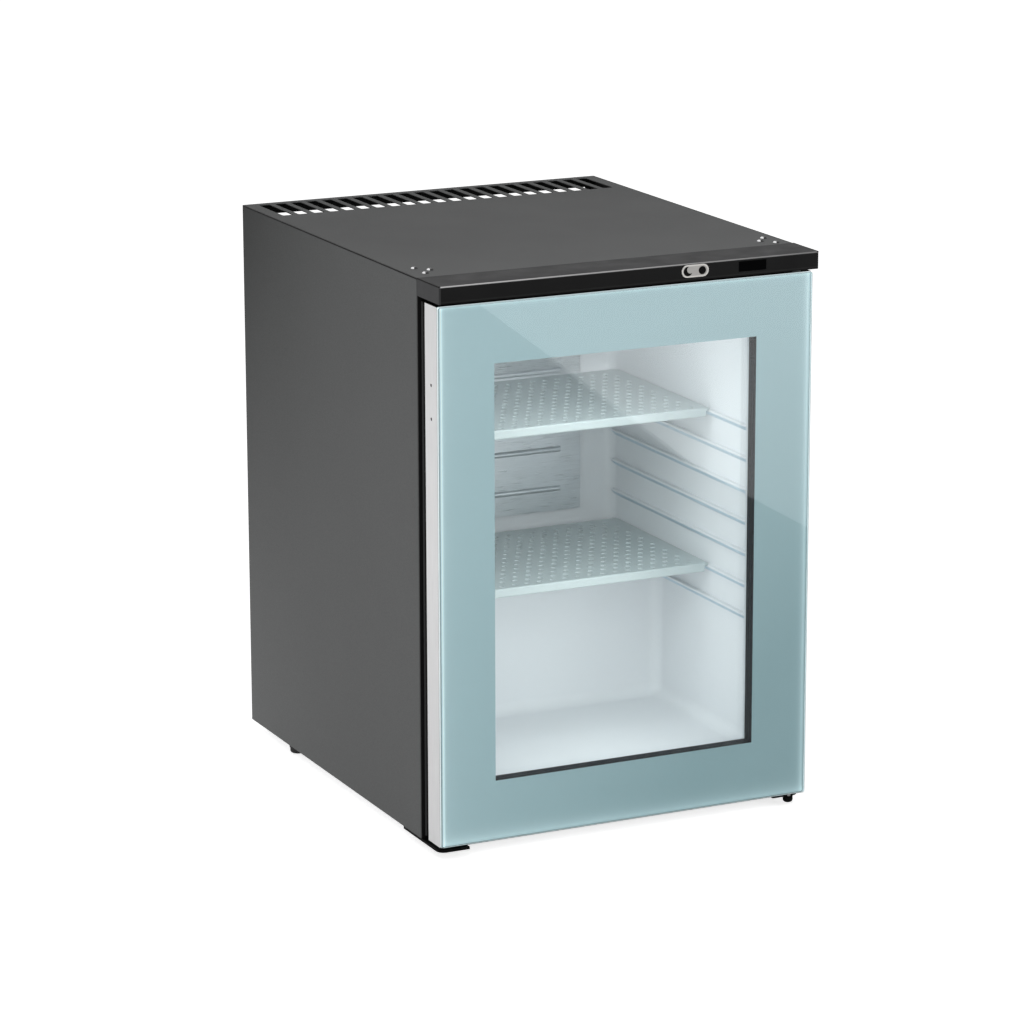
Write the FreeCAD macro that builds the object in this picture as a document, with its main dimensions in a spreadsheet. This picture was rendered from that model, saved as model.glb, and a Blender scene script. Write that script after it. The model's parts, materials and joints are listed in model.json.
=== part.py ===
import FreeCAD, Part
import math
import operator
import os
import Sketcher

# Minibar fridge with a glass door. Millimetres, X to the right, Y to the back, Z up.
# The origin is on the floor, under the middle of the object; the front faces -Y.

SIZES = {
    # Cabinet shell
    "cabinet_width": 402.0,
    "cabinet_depth": 485.0,
    "cabinet_height": 550.0,
    "sheet": 1.0,
    "bend_radius": 0.9,
    "front_flange": 28.0,
    "rear_flange": 10.0,
    "top_flange": 6.0,
    "seam": 0.6,
    "contact_gap": 0.3,
    "overrun": 2.0,
    # Vented top panel
    "vent_lip": 11.5,
    "slot_count": 22,
    "slot_pitch": 17.25,
    "slot_width": 11.4,
    "slot_length": 65.0,
    "slot_corner": 1.8,
    "slot_margin": 10.0,
    # Plates under the front corners of the top, each held by three rivets
    "corner_plate": 3.0,
    "corner_plate_width": 34.0,
    "corner_plate_inset": 7.0,
    "corner_plate_reach": 62.0,
    "left_plate_setback": 41.0,
    "hinge_plate_setback": 8.0,
    "left_rivets_in": 17.6,
    "left_rivets_back": 82.3,
    "right_rivets_in": 13.8,
    "right_rivets_back": 73.2,
    "rivet_spread": 12.9,
    "rivet_offset": 10.5,
    "rivet_shank": 1.6,
    "rivet_head": 3.6,
    "rivet_head_height": 1.3,
    "rivet_round": 1.2,
    # Control fascia
    "fascia_depth": 50.0,
    "fascia_height": 16.5,
    "fascia_proud": 0.5,
    "fascia_wall": 1.5,
    "fascia_front_wall": 3.0,
    "fascia_round": 2.2,
    "badge_middle": 66.5,
    "badge_length": 29.0,
    "badge_height": 12.2,
    "badge_depth": 1.6,
    "badge_gap": 0.7,
    "badge_drop": 7.2,
    "button_middle": 74.1,
    "button_radius": 3.3,
    "button_clearance": 0.1,
    "button_proud": 0.7,
    "button_stem": 2.0,
    "button_flange": 1.0,
    "button_travel": 1.0,
    "button_round": 0.35,
    "display_middle": 128.0,
    "display_length": 30.0,
    "display_height": 10.0,
    "display_depth": 1.2,
    "display_border": 2.5,
    "display_gap": 0.1,
    "module_length": 20.0,
    "module_height": 4.2,
    "board_setback": 11.0,
    "board_thickness": 1.6,
    "board_left": 40.0,
    "board_right": 156.0,
    "board_height": 9.0,
    "board_post": 2.0,
    "board_post_inset": 4.0,
    "switch_width": 6.0,
    "switch_height": 4.0,
    "switch_depth": 4.0,
    # Door
    "door_inset": 2.25,
    "door_setback": 7.5,
    "door_floor_gap": 2.0,
    "door_top_gap": 4.0,
    "glass": 4.0,
    "glass_round": 0.8,
    "print_layer": 0.3,
    "window_margin": 59.0,
    "spacer_width": 8.0,
    "spacer_depth": 14.7,
    "pane_overlap": 3.0,
    "frame_depth": 26.2,
    "frame_wall": 2.0,
    "frame_web": 46.0,
    "inner_frame_depth": 7.5,
    "inner_frame_margin": 54.5,
    "gasket_lip_margin": 3.0,
    "gasket_lip_width": 5.0,
    "gasket_lip_reach": 9.2,
    "gasket_bulb_margin": 11.0,
    "gasket_bulb_width": 14.0,
    "gasket_base": 2.0,
    "gasket_skin": 1.2,
    "magnet_depth": 2.4,
    "handle_hole_radius": 1.6,
    "handle_hole_back": 17.3,
    "handle_hole_drop": 93.0,
    "handle_hole_spacing": 32.4,
    # Door hinge
    "pivot_inset": 15.5,
    "pivot_setback": 18.5,
    "pin_radius": 3.0,
    "pin_clearance": 0.05,
    "pin_engagement": 14.0,
    "pin_hole_gap": 0.6,
    "block_width": 26.0,
    "block_height": 18.0,
    "boss_radius": 5.0,
    "lower_bracket": 2.5,
    "left_bracket_width": 32.0,
    "hinge_bracket_width": 30.0,
    "hinge_bracket_inset": 4.0,
    "lower_bracket_reach": 42.0,
    "left_bracket_setback": 8.0,
    "hinge_bracket_setback": 16.0,
    "bracket_corner": 8.0,
    "nut_radius": 5.0,
    "nut_height": 6.5,
    "nut_round": 3.0,
    "nut_bore": 3.2,
    "bracket_screw_radius": 2.0,
    "bracket_screw_head": 4.0,
    "bracket_screw_head_height": 1.8,
    "bracket_screw_margin": 8.0,
    "bracket_screw_spacing": 24.0,
    # Feet
    "foot_height": 12.0,
    "foot_radius": 9.0,
    "foot_taper": 1.5,
    "foot_step": 6.0,
    "foot_round": 2.5,
    "rear_foot_in": 14.0,
    "rear_foot_from_back": 93.0,
    "front_foot_in": 46.0,
    "front_foot_back": 75.0,
    # Cabin, its liner and the foam behind it
    "side_wall": 36.0,
    "floor_wall": 42.0,
    "ceiling_wall": 38.0,
    "rear_wall": 37.0,
    "liner": 2.0,
    "liner_corner": 12.0,
    "liner_rim": 8.0,
    "sill_height": 7.0,
    "sill_depth": 16.0,
    "sill_round": 3.0,
    "machine_front": 245.0,
    "machine_height": 162.0,
    "machine_rear_depth": 80.0,
    "hump_wall": 35.0,
    "hump_cover": 28.0,
    # Shelf support ribs
    "rib_count": 7,
    "rib_first": 175.5,
    "rib_pitch": 32.1,
    "rib_height": 8.2,
    "rib_nose": 1.8,
    "rib_depth": 5.0,
    "rib_round": 1.0,
    "rib_front": 14.0,
    "rib_end_gap": 8.0,
    # Shelves
    "shelf_sheet": 1.2,
    "shelf_side_gap": 2.0,
    "shelf_setback": 93.0,
    "shelf_depth": 209.0,
    "shelf_lip_drop": 6.0,
    "shelf_lip_rise": 2.0,
    "shelf_lip_depth": 4.0,
    "shelf_lip_round": 1.8,
    "shelf_corner": 7.0,
    "upper_shelf_rib": 6,
    "lower_shelf_rib": 1,
    "hole_radius": 2.75,
    "hole_pitch": 14.0,
    "hole_row_pitch": 13.5,
    "hole_columns": 22,
    "hole_rows": 14,
    "hole_front_margin": 16.0,
    # Cold side
    "plate_width": 250.0,
    "plate_height": 250.0,
    "plate_low": 222.0,
    "plate_thickness": 1.5,
    "plate_standoff": 4.0,
    "plate_post": 4.0,
    "plate_post_inset": 14.0,
    "channel_radius": 3.0,
    "channel_pitch": 42.0,
    "channel_margin": 24.0,
    "lamp_length": 120.0,
    "lamp_width": 22.0,
    "lamp_height": 9.0,
    "lamp_setback": 28.0,
    "lamp_wall": 1.5,
    "lamp_round": 3.0,
    "lamp_board_inset": 3.0,
    "probe_radius": 3.0,
    "probe_length": 26.0,
    "probe_height": 349.0,
    "probe_back": 240.0,
    "clip_wall": 2.0,
    "clip_length": 13.0,
    "drain_radius": 5.0,
    "drain_wall": 1.0,
    "drain_across": 60.0,
    "drain_back": 290.0,
    # Machine compartment
    "machine_sheet": 1.5,
    "machine_lip": 12.0,
    "compressor_radius": 60.0,
    "compressor_height": 118.0,
    "compressor_across": 20.0,
    "compressor_from_back": 112.0,
    "compressor_dome": 38.0,
    "compressor_belly": 24.0,
    "seam_ring": 3.0,
    "seam_ring_height": 5.0,
    "seam_ring_rise": 59.0,
    "leg_length": 150.0,
    "leg_width": 96.0,
    "leg_thickness": 3.0,
    "leg_inset": 11.0,
    "grommet_radius": 9.0,
    "grommet_height": 9.0,
    "mount_bolt": 3.0,
    "mount_bolt_head": 6.0,
    "mount_bolt_head_height": 4.0,
    "relay_width": 34.0,
    "relay_depth": 46.0,
    "relay_height": 52.0,
    "relay_round": 3.0,
    "tray_length": 140.0,
    "tray_width": 104.0,
    "tray_height": 14.0,
    "tray_wall": 1.5,
    "tray_round": 8.0,
    "tray_well_inset": 4.5,
    "box_width": 74.0,
    "box_depth": 66.0,
    "box_height": 96.0,
    "box_side_gap": 8.0,
    "box_rear_gap": 10.0,
    "box_round": 3.0,
    "inlet_width": 28.0,
    "inlet_height": 20.0,
    "inlet_depth": 16.0,
    "inlet_proud": 3.0,
    "inlet_wall": 1.8,
    "inlet_rise": 26.0,
    "inlet_pin": 1.2,
    "inlet_pin_pitch": 7.0,
    "inlet_pin_drop": 1.2,
    "inlet_earth_rise": 2.4,
    "inlet_floor": 2.0,
    "box_wall": 2.0,
    "condenser_width": 300.0,
    "condenser_runs": 9,
    "condenser_pitch": 34.0,
    "condenser_low": 196.0,
    "condenser_gap": 16.0,
    "pipe_radius": 2.4,
    "pipe_bend": 12.0,
    "capillary_radius": 1.2,
    "discharge_across": 105.0,
    "discharge_height": 53.0,
    "discharge_turn": 148.0,
    "suction_across": -100.0,
    "suction_height": 85.0,
    "suction_turn": 173.0,
    "capillary_across": -115.0,
    "capillary_turn": 33.0,
    "wall_pipe_gap": 9.5,
    "wall_pipe_bend": 8.0,
    "wall_pipe_height": 250.0,
    "liquid_turn": 163.0,
    "pipe_from_back": 40.0,
    "wire_radius": 0.8,
    "wire_count": 28,
    "wire_overhang": 10.0,
    "wire_gap": 0.05,
    "clip_width": 12.0,
    "clip_across": 75.0,
    "clip_lap": 1.2,
    "pipe_join": 24.0,
    "drier_radius": 8.0,
    "drier_length": 64.0,
    "drier_neck": 3.2,
    "drier_neck_length": 8.0,
    "drier_across": 168.0,
    "drier_low": 70.0,
    "back_screw_radius": 3.4,
    "back_screw_height": 1.8,
    "back_screw_shank": 1.6,
    "back_screw_inset": 8.0,
    "back_screw_low": 190.0,
    "back_screw_pitch": 160.0,
    "back_screw_rows": 3,
}

doc = FreeCAD.newDocument("minibar_fridge")
sheet = doc.addObject("Spreadsheet::Sheet", "sizes")
for row, (name, number) in enumerate(SIZES.items(), start=1):
    sheet.set("A%d" % row, name)
    sheet.set("B%d" % row, str(number))
    sheet.setAlias("B%d" % row, name)
doc.recompute()

AXES = {"x": FreeCAD.Vector(1, 0, 0), "y": FreeCAD.Vector(0, 1, 0), "z": FreeCAD.Vector(0, 0, 1)}
ACROSS = {"x": ("y", "z"), "y": ("x", "z"), "z": ("x", "y")}
PLANE = {"x": "YZ_Plane", "y": "XZ_Plane", "z": "XY_Plane"}
pieces = []


class Size:
    """A number that keeps the formula it comes from, so that it can be bound to the sheet."""

    def __init__(self, value, formula):
        self.value = value
        self.formula = formula

    def __add__(self, other):
        return joined(self, "+", other)

    def __radd__(self, other):
        return joined(other, "+", self)

    def __sub__(self, other):
        return joined(self, "-", other)

    def __rsub__(self, other):
        return joined(other, "-", self)

    def __mul__(self, other):
        return joined(self, "*", other)

    def __rmul__(self, other):
        return joined(other, "*", self)

    def __truediv__(self, other):
        return joined(self, "/", other)

    def __neg__(self):
        return joined(0, "-", self)


OPERATORS = {"+": operator.add, "-": operator.sub, "*": operator.mul, "/": operator.truediv}


def as_size(number):
    return number if isinstance(number, Size) else Size(float(number), str(number))


def joined(first, sign, second):
    first, second = as_size(first), as_size(second)
    value = OPERATORS[sign](first.value, second.value)
    return Size(value, "(%s %s %s)" % (first.formula, sign, second.formula))


def least(first, second):
    return Size(min(first.value, second.value), "min(%s; %s)" % (first.formula, second.formula))


class Sheet:
    """Each cell of the sheet, by its name."""

    def __getattr__(self, name):
        return Size(float(sheet.get(name)), "sizes." + name)


s = Sheet()


def bind(thing, prop, size):
    thing.setExpression(prop, as_size(size).formula)


def keep(thing, label):
    """Marks a finished sub-part: its label names its node."""
    thing.Label = label
    pieces.append(thing)
    return thing


# Sketch outlines, drawn in the two directions across the sketch's axis


def pin_down(sketch, geometry, point, across=None, along=None):
    for kind, size in (("DistanceX", across), ("DistanceY", along)):
        if size is None:
            continue
        size = as_size(size)
        constraint = Sketcher.Constraint(kind, -1, 1, geometry, point, size.value)
        index = sketch.addConstraint(constraint)
        sketch.setExpression("Constraints[%d]" % index, size.formula)


def vector(across, along):
    return FreeCAD.Vector(as_size(across).value, as_size(along).value, 0)


def polygon(*corners):
    def draw(sketch):
        ends = corners[1:] + corners[:1]
        lines = [sketch.addGeometry(Part.LineSegment(vector(*start), vector(*end)))
                 for start, end in zip(corners, ends)]
        for line, following in zip(lines, lines[1:] + lines[:1]):
            sketch.addConstraint(Sketcher.Constraint("Coincident", line, 2, following, 1))
        for line, (across, along) in zip(lines, corners):
            pin_down(sketch, line, 1, across, along)
    return draw


def rectangle(across, along):
    (left, right), (low, high) = across, along
    return polygon((left, low), (right, low), (right, high), (left, high))


def circle(across, along, radius):
    def draw(sketch):
        normal = FreeCAD.Vector(0, 0, 1)
        ring = sketch.addGeometry(Part.Circle(vector(across, along), normal, as_size(radius).value))
        pin_down(sketch, ring, 3, across, along)
        index = sketch.addConstraint(Sketcher.Constraint("Radius", ring, as_size(radius).value))
        sketch.setExpression("Constraints[%d]" % index, as_size(radius).formula)
    return draw


def capsule(across, along, radius):
    """A slot with round ends; its straight sides run from left to right between the end centres."""
    def draw(sketch):
        normal = FreeCAD.Vector(0, 0, 1)
        ends = [(across[0], along, math.pi / 2), (across[1], along, -math.pi / 2)]
        sides = [(across[0], along - radius), (across[1], along - radius),
                 (across[1], along + radius), (across[0], along + radius)]
        curves = []
        for number, (middle_across, middle_along, angle) in enumerate(ends):
            ring = Part.Circle(vector(middle_across, middle_along), normal, radius.value)
            arc = sketch.addGeometry(Part.ArcOfCircle(ring, angle, angle + math.pi))
            start, end = sides[2 * number], sides[2 * number + 1]
            line = sketch.addGeometry(Part.LineSegment(vector(*start), vector(*end)))
            pin_down(sketch, line, 1, *start)
            pin_down(sketch, line, 2, *end)
            pin_down(sketch, arc, 3, across=middle_across)
            curves += [arc, line]
        for curve, following in zip(curves, curves[1:] + curves[:1]):
            sketch.addConstraint(Sketcher.Constraint("Coincident", curve, 2, following, 1))
    return draw


def rounded_rectangle(across, along, radius):
    """A rectangle whose corners are quarter circles."""
    (left, right), (low, high) = across, along

    def draw(sketch):
        normal = FreeCAD.Vector(0, 0, 1)
        near, far, front, back = left + radius, right - radius, low + radius, high - radius
        middles = [(far, back), (near, back), (near, front), (far, front)]
        sides = [((far, high), (near, high)), ((left, back), (left, front)),
                 ((near, low), (far, low)), ((right, front), (right, back))]
        curves = []
        for quarter, (middle, (start, end)) in enumerate(zip(middles, sides)):
            angle = quarter * math.pi / 2
            ring = Part.Circle(vector(*middle), normal, radius.value)
            arc = sketch.addGeometry(Part.ArcOfCircle(ring, angle, angle + math.pi / 2))
            line = sketch.addGeometry(Part.LineSegment(vector(*start), vector(*end)))
            pin_down(sketch, line, 1, *start)
            pin_down(sketch, line, 2, *end)
            pin_down(sketch, arc, 3, across=middle[0])
            curves += [arc, line]
        for curve, following in zip(curves, curves[1:] + curves[:1]):
            sketch.addConstraint(Sketcher.Constraint("Coincident", curve, 2, following, 1))
    return draw


# Solids


def new_body(label):
    return keep(doc.addObject("PartDesign::Body", label), label)


def sketch_on(body, axis, place, loops):
    """A sketch across the axis at that place; the sheet's cells drive each point."""
    sketch = body.newObject("Sketcher::SketchObject", body.Label + "_sketch")
    plane = next(item for item in body.Origin.OriginFeatures if item.Role == PLANE[axis])
    sketch.AttachmentSupport = [(plane, "")]
    sketch.MapMode = "FlatFace"
    bind(sketch, "AttachmentOffset.Base.z", -place if axis == "y" else place)
    for loop in loops:
        loop(sketch)
    return sketch


def pad(body, axis, low, high, *loops):
    """Adds a prism between two places on the axis."""
    sketch = sketch_on(body, axis, high if axis == "y" else low, loops)
    feature = body.newObject("PartDesign::Pad", body.Label + "_pad")
    feature.Profile = sketch
    bind(feature, "Length", high - low)
    sketch.Visibility = False
    return feature


def pocket(body, axis, low, high, *loops):
    """Cuts a prism between two places on the axis."""
    sketch = sketch_on(body, axis, low if axis == "y" else high, loops)
    feature = body.newObject("PartDesign::Pocket", body.Label + "_pocket")
    feature.Profile = sketch
    bind(feature, "Length", high - low)
    return feature


def plate(label, axis, low, high, *loops):
    body = new_body(label)
    pad(body, axis, low, high, *loops)
    return body


def repeat(body, feature, axis, pitch, count):
    """Repeats a feature in a row along the axis."""
    pattern = body.newObject("PartDesign::LinearPattern", body.Label + "_row")
    pattern.Originals = [feature]
    role = axis.upper() + "_Axis"
    line = next(item for item in body.Origin.OriginFeatures if item.Role == role)
    pattern.Direction = (line, [""])
    bind(pattern, "Length", pitch * (count - 1))
    bind(pattern, "Occurrences", count)
    body.Tip = pattern
    return pattern


def on_lines(*tests):
    """Says whether an edge is straight, runs along an axis and passes through given places."""
    def test(edge):
        start, end = edge.Vertexes[0].Point, edge.Vertexes[-1].Point
        if edge.Curve.TypeId != "Part::GeomLine":
            return False
        return any(matches(start, end, line) for line in tests)
    return test


def matches(start, end, line):
    near = 1e-4
    return all(abs(getattr(start, axis) - as_size(place).value) < near
               and abs(getattr(end, axis) - as_size(place).value) < near
               for axis, place in line.items())


def around(axis):
    """Says whether an edge is a circle about that axis at the given place along it."""
    def at(place, radius):
        def test(edge):
            if edge.Curve.TypeId != "Part::GeomCircle":
                return False
            level = getattr(edge.Curve.Center, axis)
            return abs(level - place.value) < 1e-4 and abs(edge.Curve.Radius - radius.value) < 1e-4
        return test
    return at


def round_off(body, radius, test):
    """Rounds the edges of the body's last feature that pass the test."""
    doc.recompute()
    base = body.Tip
    names = ["Edge%d" % (number + 1) for number, edge in enumerate(base.Shape.Edges) if test(edge)]
    if not names:
        raise RuntimeError("no edge to round on " + body.Label)
    feature = body.newObject("PartDesign::Fillet", body.Label + "_round")
    feature.Base = (base, names)
    bind(feature, "Radius", radius)
    return feature


def block(name, x, y, z):
    """A block between two places on each axis."""
    solid = doc.addObject("Part::Box", name)
    for axis, prop, (low, high) in (("x", "Length", x), ("y", "Width", y), ("z", "Height", z)):
        bind(solid, "Placement.Base." + axis, low)
        bind(solid, prop, high - low)
    return solid


def rod(name, axis, across, along, span, radius):
    """A cylinder along an axis; across and along place it in the other two directions."""
    solid = doc.addObject("Part::Cylinder", name)
    turns = {"x": (AXES["y"], 90), "y": (AXES["x"], -90), "z": (AXES["z"], 0)}
    solid.Placement = FreeCAD.Placement(FreeCAD.Vector(), FreeCAD.Rotation(*turns[axis]))
    first, second = ACROSS[axis]
    bind(solid, "Placement.Base." + first, across)
    bind(solid, "Placement.Base." + second, along)
    bind(solid, "Placement.Base." + axis, span[0])
    bind(solid, "Height", span[1] - span[0])
    bind(solid, "Radius", radius)
    return solid


def fuse(name, parts):
    solid = doc.addObject("Part::MultiFuse", name)
    solid.Shapes = parts
    solid.Refine = True
    return solid


def cut(name, base, tools):
    solid = doc.addObject("Part::Cut", name)
    solid.Base = base
    solid.Tool = tools[0] if len(tools) == 1 else fuse(name + "_tools", tools)
    solid.Refine = True
    return solid


def common(name, parts):
    solid = doc.addObject("Part::MultiCommon", name)
    solid.Shapes = parts
    return solid


def group(label, parts):
    """Like pieces that share a node, each a solid of its own."""
    solid = doc.addObject("Part::Compound", label)
    solid.Links = parts
    return keep(solid, label)


def inboard(side, distance):
    """X at that distance inside the cabinet's left (-1) or right (1) face."""
    return s.cabinet_width / 2 * side - distance * side


def between(side, outer, inner):
    """The X span from one distance inside that face to another, lower first."""
    span = (inboard(side, outer), inboard(side, inner))
    return span if side < 0 else span[::-1]


SIDES = {"left": -1, "right": 1}

# Datum places
half = s.cabinet_width / 2
front = -s.cabinet_depth / 2
rear = s.cabinet_depth / 2
face = front + s.fascia_depth
base = s.foot_height
top = base + s.cabinet_height
under_top = top - s.sheet

door_left = -half + s.door_inset
door_right = half - s.door_inset
door_bottom = base + s.door_floor_gap
door_top = top - s.fascia_height - s.door_top_gap
door_front = front + s.door_setback
print_front = door_front + s.glass
frame_front = print_front + s.print_layer
frame_back = frame_front + s.frame_depth
inner_frame_front = frame_back - s.inner_frame_depth

pivot_x = half - s.pivot_inset
pivot_y = front + s.pivot_setback

bulkhead_low = face + s.machine_front
bulkhead_high = rear - s.machine_rear_depth
machine_top = base + s.machine_height
cabin_side = half - s.side_wall
cabin_floor = base + s.floor_wall
cabin_ceiling = top - s.ceiling_wall
cabin_back = bulkhead_high - s.rear_wall
hump_front = bulkhead_low - s.hump_wall
hump_top = machine_top + s.hump_cover
machine_floor = base + s.machine_sheet
plate_bottom = under_top - s.corner_plate


def door_outline(margin):
    """The door's outline, that far inside its edges."""
    return rectangle((door_left + margin, door_right - margin), (door_bottom + margin, door_top - margin))


# Cabinet shell


def side_panel(name, side):
    """A sheet with a flange bent inwards at its front, its back and its top."""
    outer, inner = inboard(side, 0), inboard(side, s.sheet)
    front_end, rear_end = inboard(side, s.front_flange), inboard(side, s.rear_flange)
    body = plate(name, "z", base, under_top, polygon(
        (outer, face), (front_end, face), (front_end, face + s.sheet), (inner, face + s.sheet),
        (inner, rear - s.sheet), (rear_end, rear - s.sheet), (rear_end, rear), (outer, rear)))
    pad(body, "z", under_top - s.sheet, under_top,
        rectangle(between(side, 0, s.top_flange), (face, rear - s.sheet * 2)))
    round_off(body, s.bend_radius, on_lines({"x": outer, "y": face}, {"x": outer, "y": rear},
                                            {"x": outer, "z": under_top}))
    pocket(body, "z", plate_bottom, under_top,
           rectangle(between(side, s.corner_plate_inset - s.contact_gap, s.front_flange + s.overrun),
                     (face - s.overrun, face + s.sheet)))
    return body


def rivet_places(side, inset, back):
    """Three rivets in a triangle: two near the side, one further in."""
    near, far = inboard(side, inset), inboard(side, inset + s.rivet_offset)
    middle = front + back
    return [(near, middle - s.rivet_spread), (far, middle), (near, middle + s.rivet_spread)]


RIVETS = {
    "left": rivet_places(-1, s.left_rivets_in, s.left_rivets_back),
    "right": rivet_places(1, s.right_rivets_in, s.right_rivets_back),
}


def top_panel():
    """The top sheet with its row of vent slots and the lip bent down at the back."""
    edge = half - s.seam
    body = plate("top_panel", "z", under_top, top, rectangle((-edge, edge), (face + s.seam, rear)))
    lip = half - s.rear_flange - s.contact_gap
    pad(body, "y", rear - s.sheet, rear, rectangle((-lip, lip), (top - s.vent_lip, top)))
    round_off(body, s.bend_radius, on_lines({"y": rear, "z": top}))
    holes = [circle(x, y, s.rivet_shank) for places in RIVETS.values() for x, y in places]
    pocket(body, "z", under_top, top, *holes)
    rear_end = rear - s.slot_margin
    first, wide = -s.slot_pitch * (s.slot_count - 1) / 2, s.slot_width / 2
    slot = pocket(body, "z", under_top, top, rounded_rectangle(
        (first - wide, first + wide), (rear_end - s.slot_length, rear_end), s.slot_corner))
    repeat(body, slot, "x", s.slot_pitch, s.slot_count)


def base_pan():
    """The sheet under the foam, with a front rail standing up between the side flanges."""
    body = plate("base_pan", "z", base, base + s.sheet, rectangle(
        (-half + s.sheet, half - s.sheet), (face + s.sheet, bulkhead_low)))
    rail = half - s.front_flange
    pad(body, "y", face, face + s.sheet, rectangle((-rail, rail), (base, cabin_floor - s.liner_rim)))
    places = [place for name in BRACKETS for place in bracket_screw_places(name)]
    holes = [circle(x, y, s.bracket_screw_radius) for x, y in places]
    pocket(body, "z", base, base + s.sheet, *holes)


def top_rail():
    """The cross member over the cabin's mouth, with a lip under the top panel."""
    rail = half - s.front_flange
    high = under_top - s.sheet
    low = cabin_ceiling + s.liner_rim
    body = plate("top_rail", "y", face, face + s.sheet, rectangle((-rail, rail), (low, high)))
    lip = half - s.corner_plate_inset - s.corner_plate_width - s.contact_gap
    pad(body, "z", high, under_top, rectangle((-lip, lip), (face, face + s.rear_flange)))
    pocket(body, "y", face, face + s.sheet,
           rectangle((-half, -lip), (plate_bottom, top)), rectangle((lip, half), (plate_bottom, top)))


def rear_bulkhead():
    """The bent sheet behind the foam: up the back of the cabin and over the compressor."""
    thick = s.sheet
    body = plate("rear_bulkhead", "x", -half + thick, half - thick, polygon(
        (bulkhead_low, base), (bulkhead_low + thick, base),
        (bulkhead_low + thick, machine_top - thick), (bulkhead_high + thick, machine_top - thick),
        (bulkhead_high + thick, under_top - thick), (bulkhead_high, under_top - thick),
        (bulkhead_high, machine_top), (bulkhead_low, machine_top)))
    drain_x, drain_y = s.drain_across, face + s.drain_back
    pocket(body, "z", machine_top - thick, machine_top, circle(drain_x, drain_y, s.drain_radius))
    screws = [circle(x, z, s.back_screw_shank) for x, z in back_screw_places()]
    pocket(body, "y", bulkhead_high, bulkhead_high + thick,
           *[circle(x, z, radius) for x, z, radius in wall_pipes()], *screws)


def back_screw_places():
    across = half - s.sheet - s.back_screw_inset
    return [(across * side, base + s.back_screw_low + s.back_screw_pitch * number)
            for side in SIDES.values() for number in range(SIZES["back_screw_rows"])]


def back_screws():
    """The screws that hold the bulkhead, three down each side."""
    seat = bulkhead_high + s.sheet
    top = seat + s.back_screw_height
    screws = []
    for number, (x, z) in enumerate(back_screw_places()):
        shank = rod("back_shank_%d" % number, "y", x, z, (bulkhead_high, seat), s.back_screw_shank)
        head = rod("back_head_%d" % number, "y", x, z, (seat, top), s.back_screw_radius)
        screws.append(fuse("back_screw_%d" % number, [shank, head]))
    group("back_screws", screws)


def wall_pipes():
    """Where the suction pipe and the capillary pass through the back wall, and their radii."""
    z = base + s.wall_pipe_height
    return [(s.suction_across, z, s.pipe_radius), (s.capillary_across, z, s.capillary_radius)]


def wall_pipe_bores(name):
    span = (cabin_back - s.overrun, bulkhead_high)
    return [rod("%s_pipe_hole_%d" % (name, number), "y", x, z, span, radius)
            for number, (x, z, radius) in enumerate(wall_pipes())]


def liner_solid(name, grow):
    """The cabin's shape with its step over the machine compartment, grown by the liner's wall."""
    wide = cabin_side + grow
    body = doc.addObject("PartDesign::Body", name)
    body.Label = name
    mouth = face if grow.value else face - s.overrun
    pad(body, "x", -wide, wide, polygon(
        (mouth, cabin_floor - grow), (hump_front + grow, cabin_floor - grow),
        (hump_front + grow, hump_top - grow), (cabin_back + grow, hump_top - grow),
        (cabin_back + grow, cabin_ceiling + grow), (mouth, cabin_ceiling + grow)))
    corners = [{"x": x, "z": z} for x in (-wide, wide) for z in (cabin_floor - grow, cabin_ceiling + grow)]
    corners += [{"x": x, "y": y} for x in (-wide, wide) for y in (hump_front + grow, cabin_back + grow)]
    corners += [{"y": hump_front + grow, "z": cabin_floor - grow},
                {"y": cabin_back + grow, "z": hump_top - grow},
                {"y": cabin_back + grow, "z": cabin_ceiling + grow}]
    round_off(body, s.liner_corner + grow, on_lines(*corners))
    return body


def inner_liner():
    """The moulded white cabin: a thin shell with a rim, a sill and the ribs that carry the shelves."""
    outer = liner_solid("liner_outer", s.liner)
    rim = block("liner_rim_plate", (-cabin_side - s.liner_rim, cabin_side + s.liner_rim),
                (face, face + s.sheet), (cabin_floor - s.liner_rim, cabin_ceiling + s.liner_rim))
    blank = fuse("liner_blank", [outer, rim])
    shell = cut("liner_shell", blank, [liner_solid("liner_cavity", Size(0, "0"))])
    sill = common("liner_sill_trimmed", [liner_sill(), liner_solid("liner_trim", s.liner)])
    drain = rod("liner_drain_hole", "z", s.drain_across, face + s.drain_back,
                (hump_top - s.liner - s.overrun, hump_top + s.overrun), s.drain_radius)
    whole = fuse("liner_with_ribs", [shell, sill] + liner_ribs())
    return keep(cut("inner_liner", whole, [drain] + wall_pipe_bores("liner")), "inner_liner")


def liner_sill():
    """The raised, rounded lip across the front of the cabin's floor."""
    body = doc.addObject("PartDesign::Body", "liner_sill")
    body.Label = "liner_sill"
    high = cabin_floor + s.sill_height
    back = face + s.sill_depth
    pad(body, "x", -cabin_side, cabin_side, rectangle((face, back), (cabin_floor - s.liner / 2, high)))
    round_off(body, s.sill_round, on_lines({"y": face, "z": high}, {"y": back, "z": high}))
    return body


def rib_top(number):
    return base + s.rib_first + s.rib_pitch * number


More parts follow.
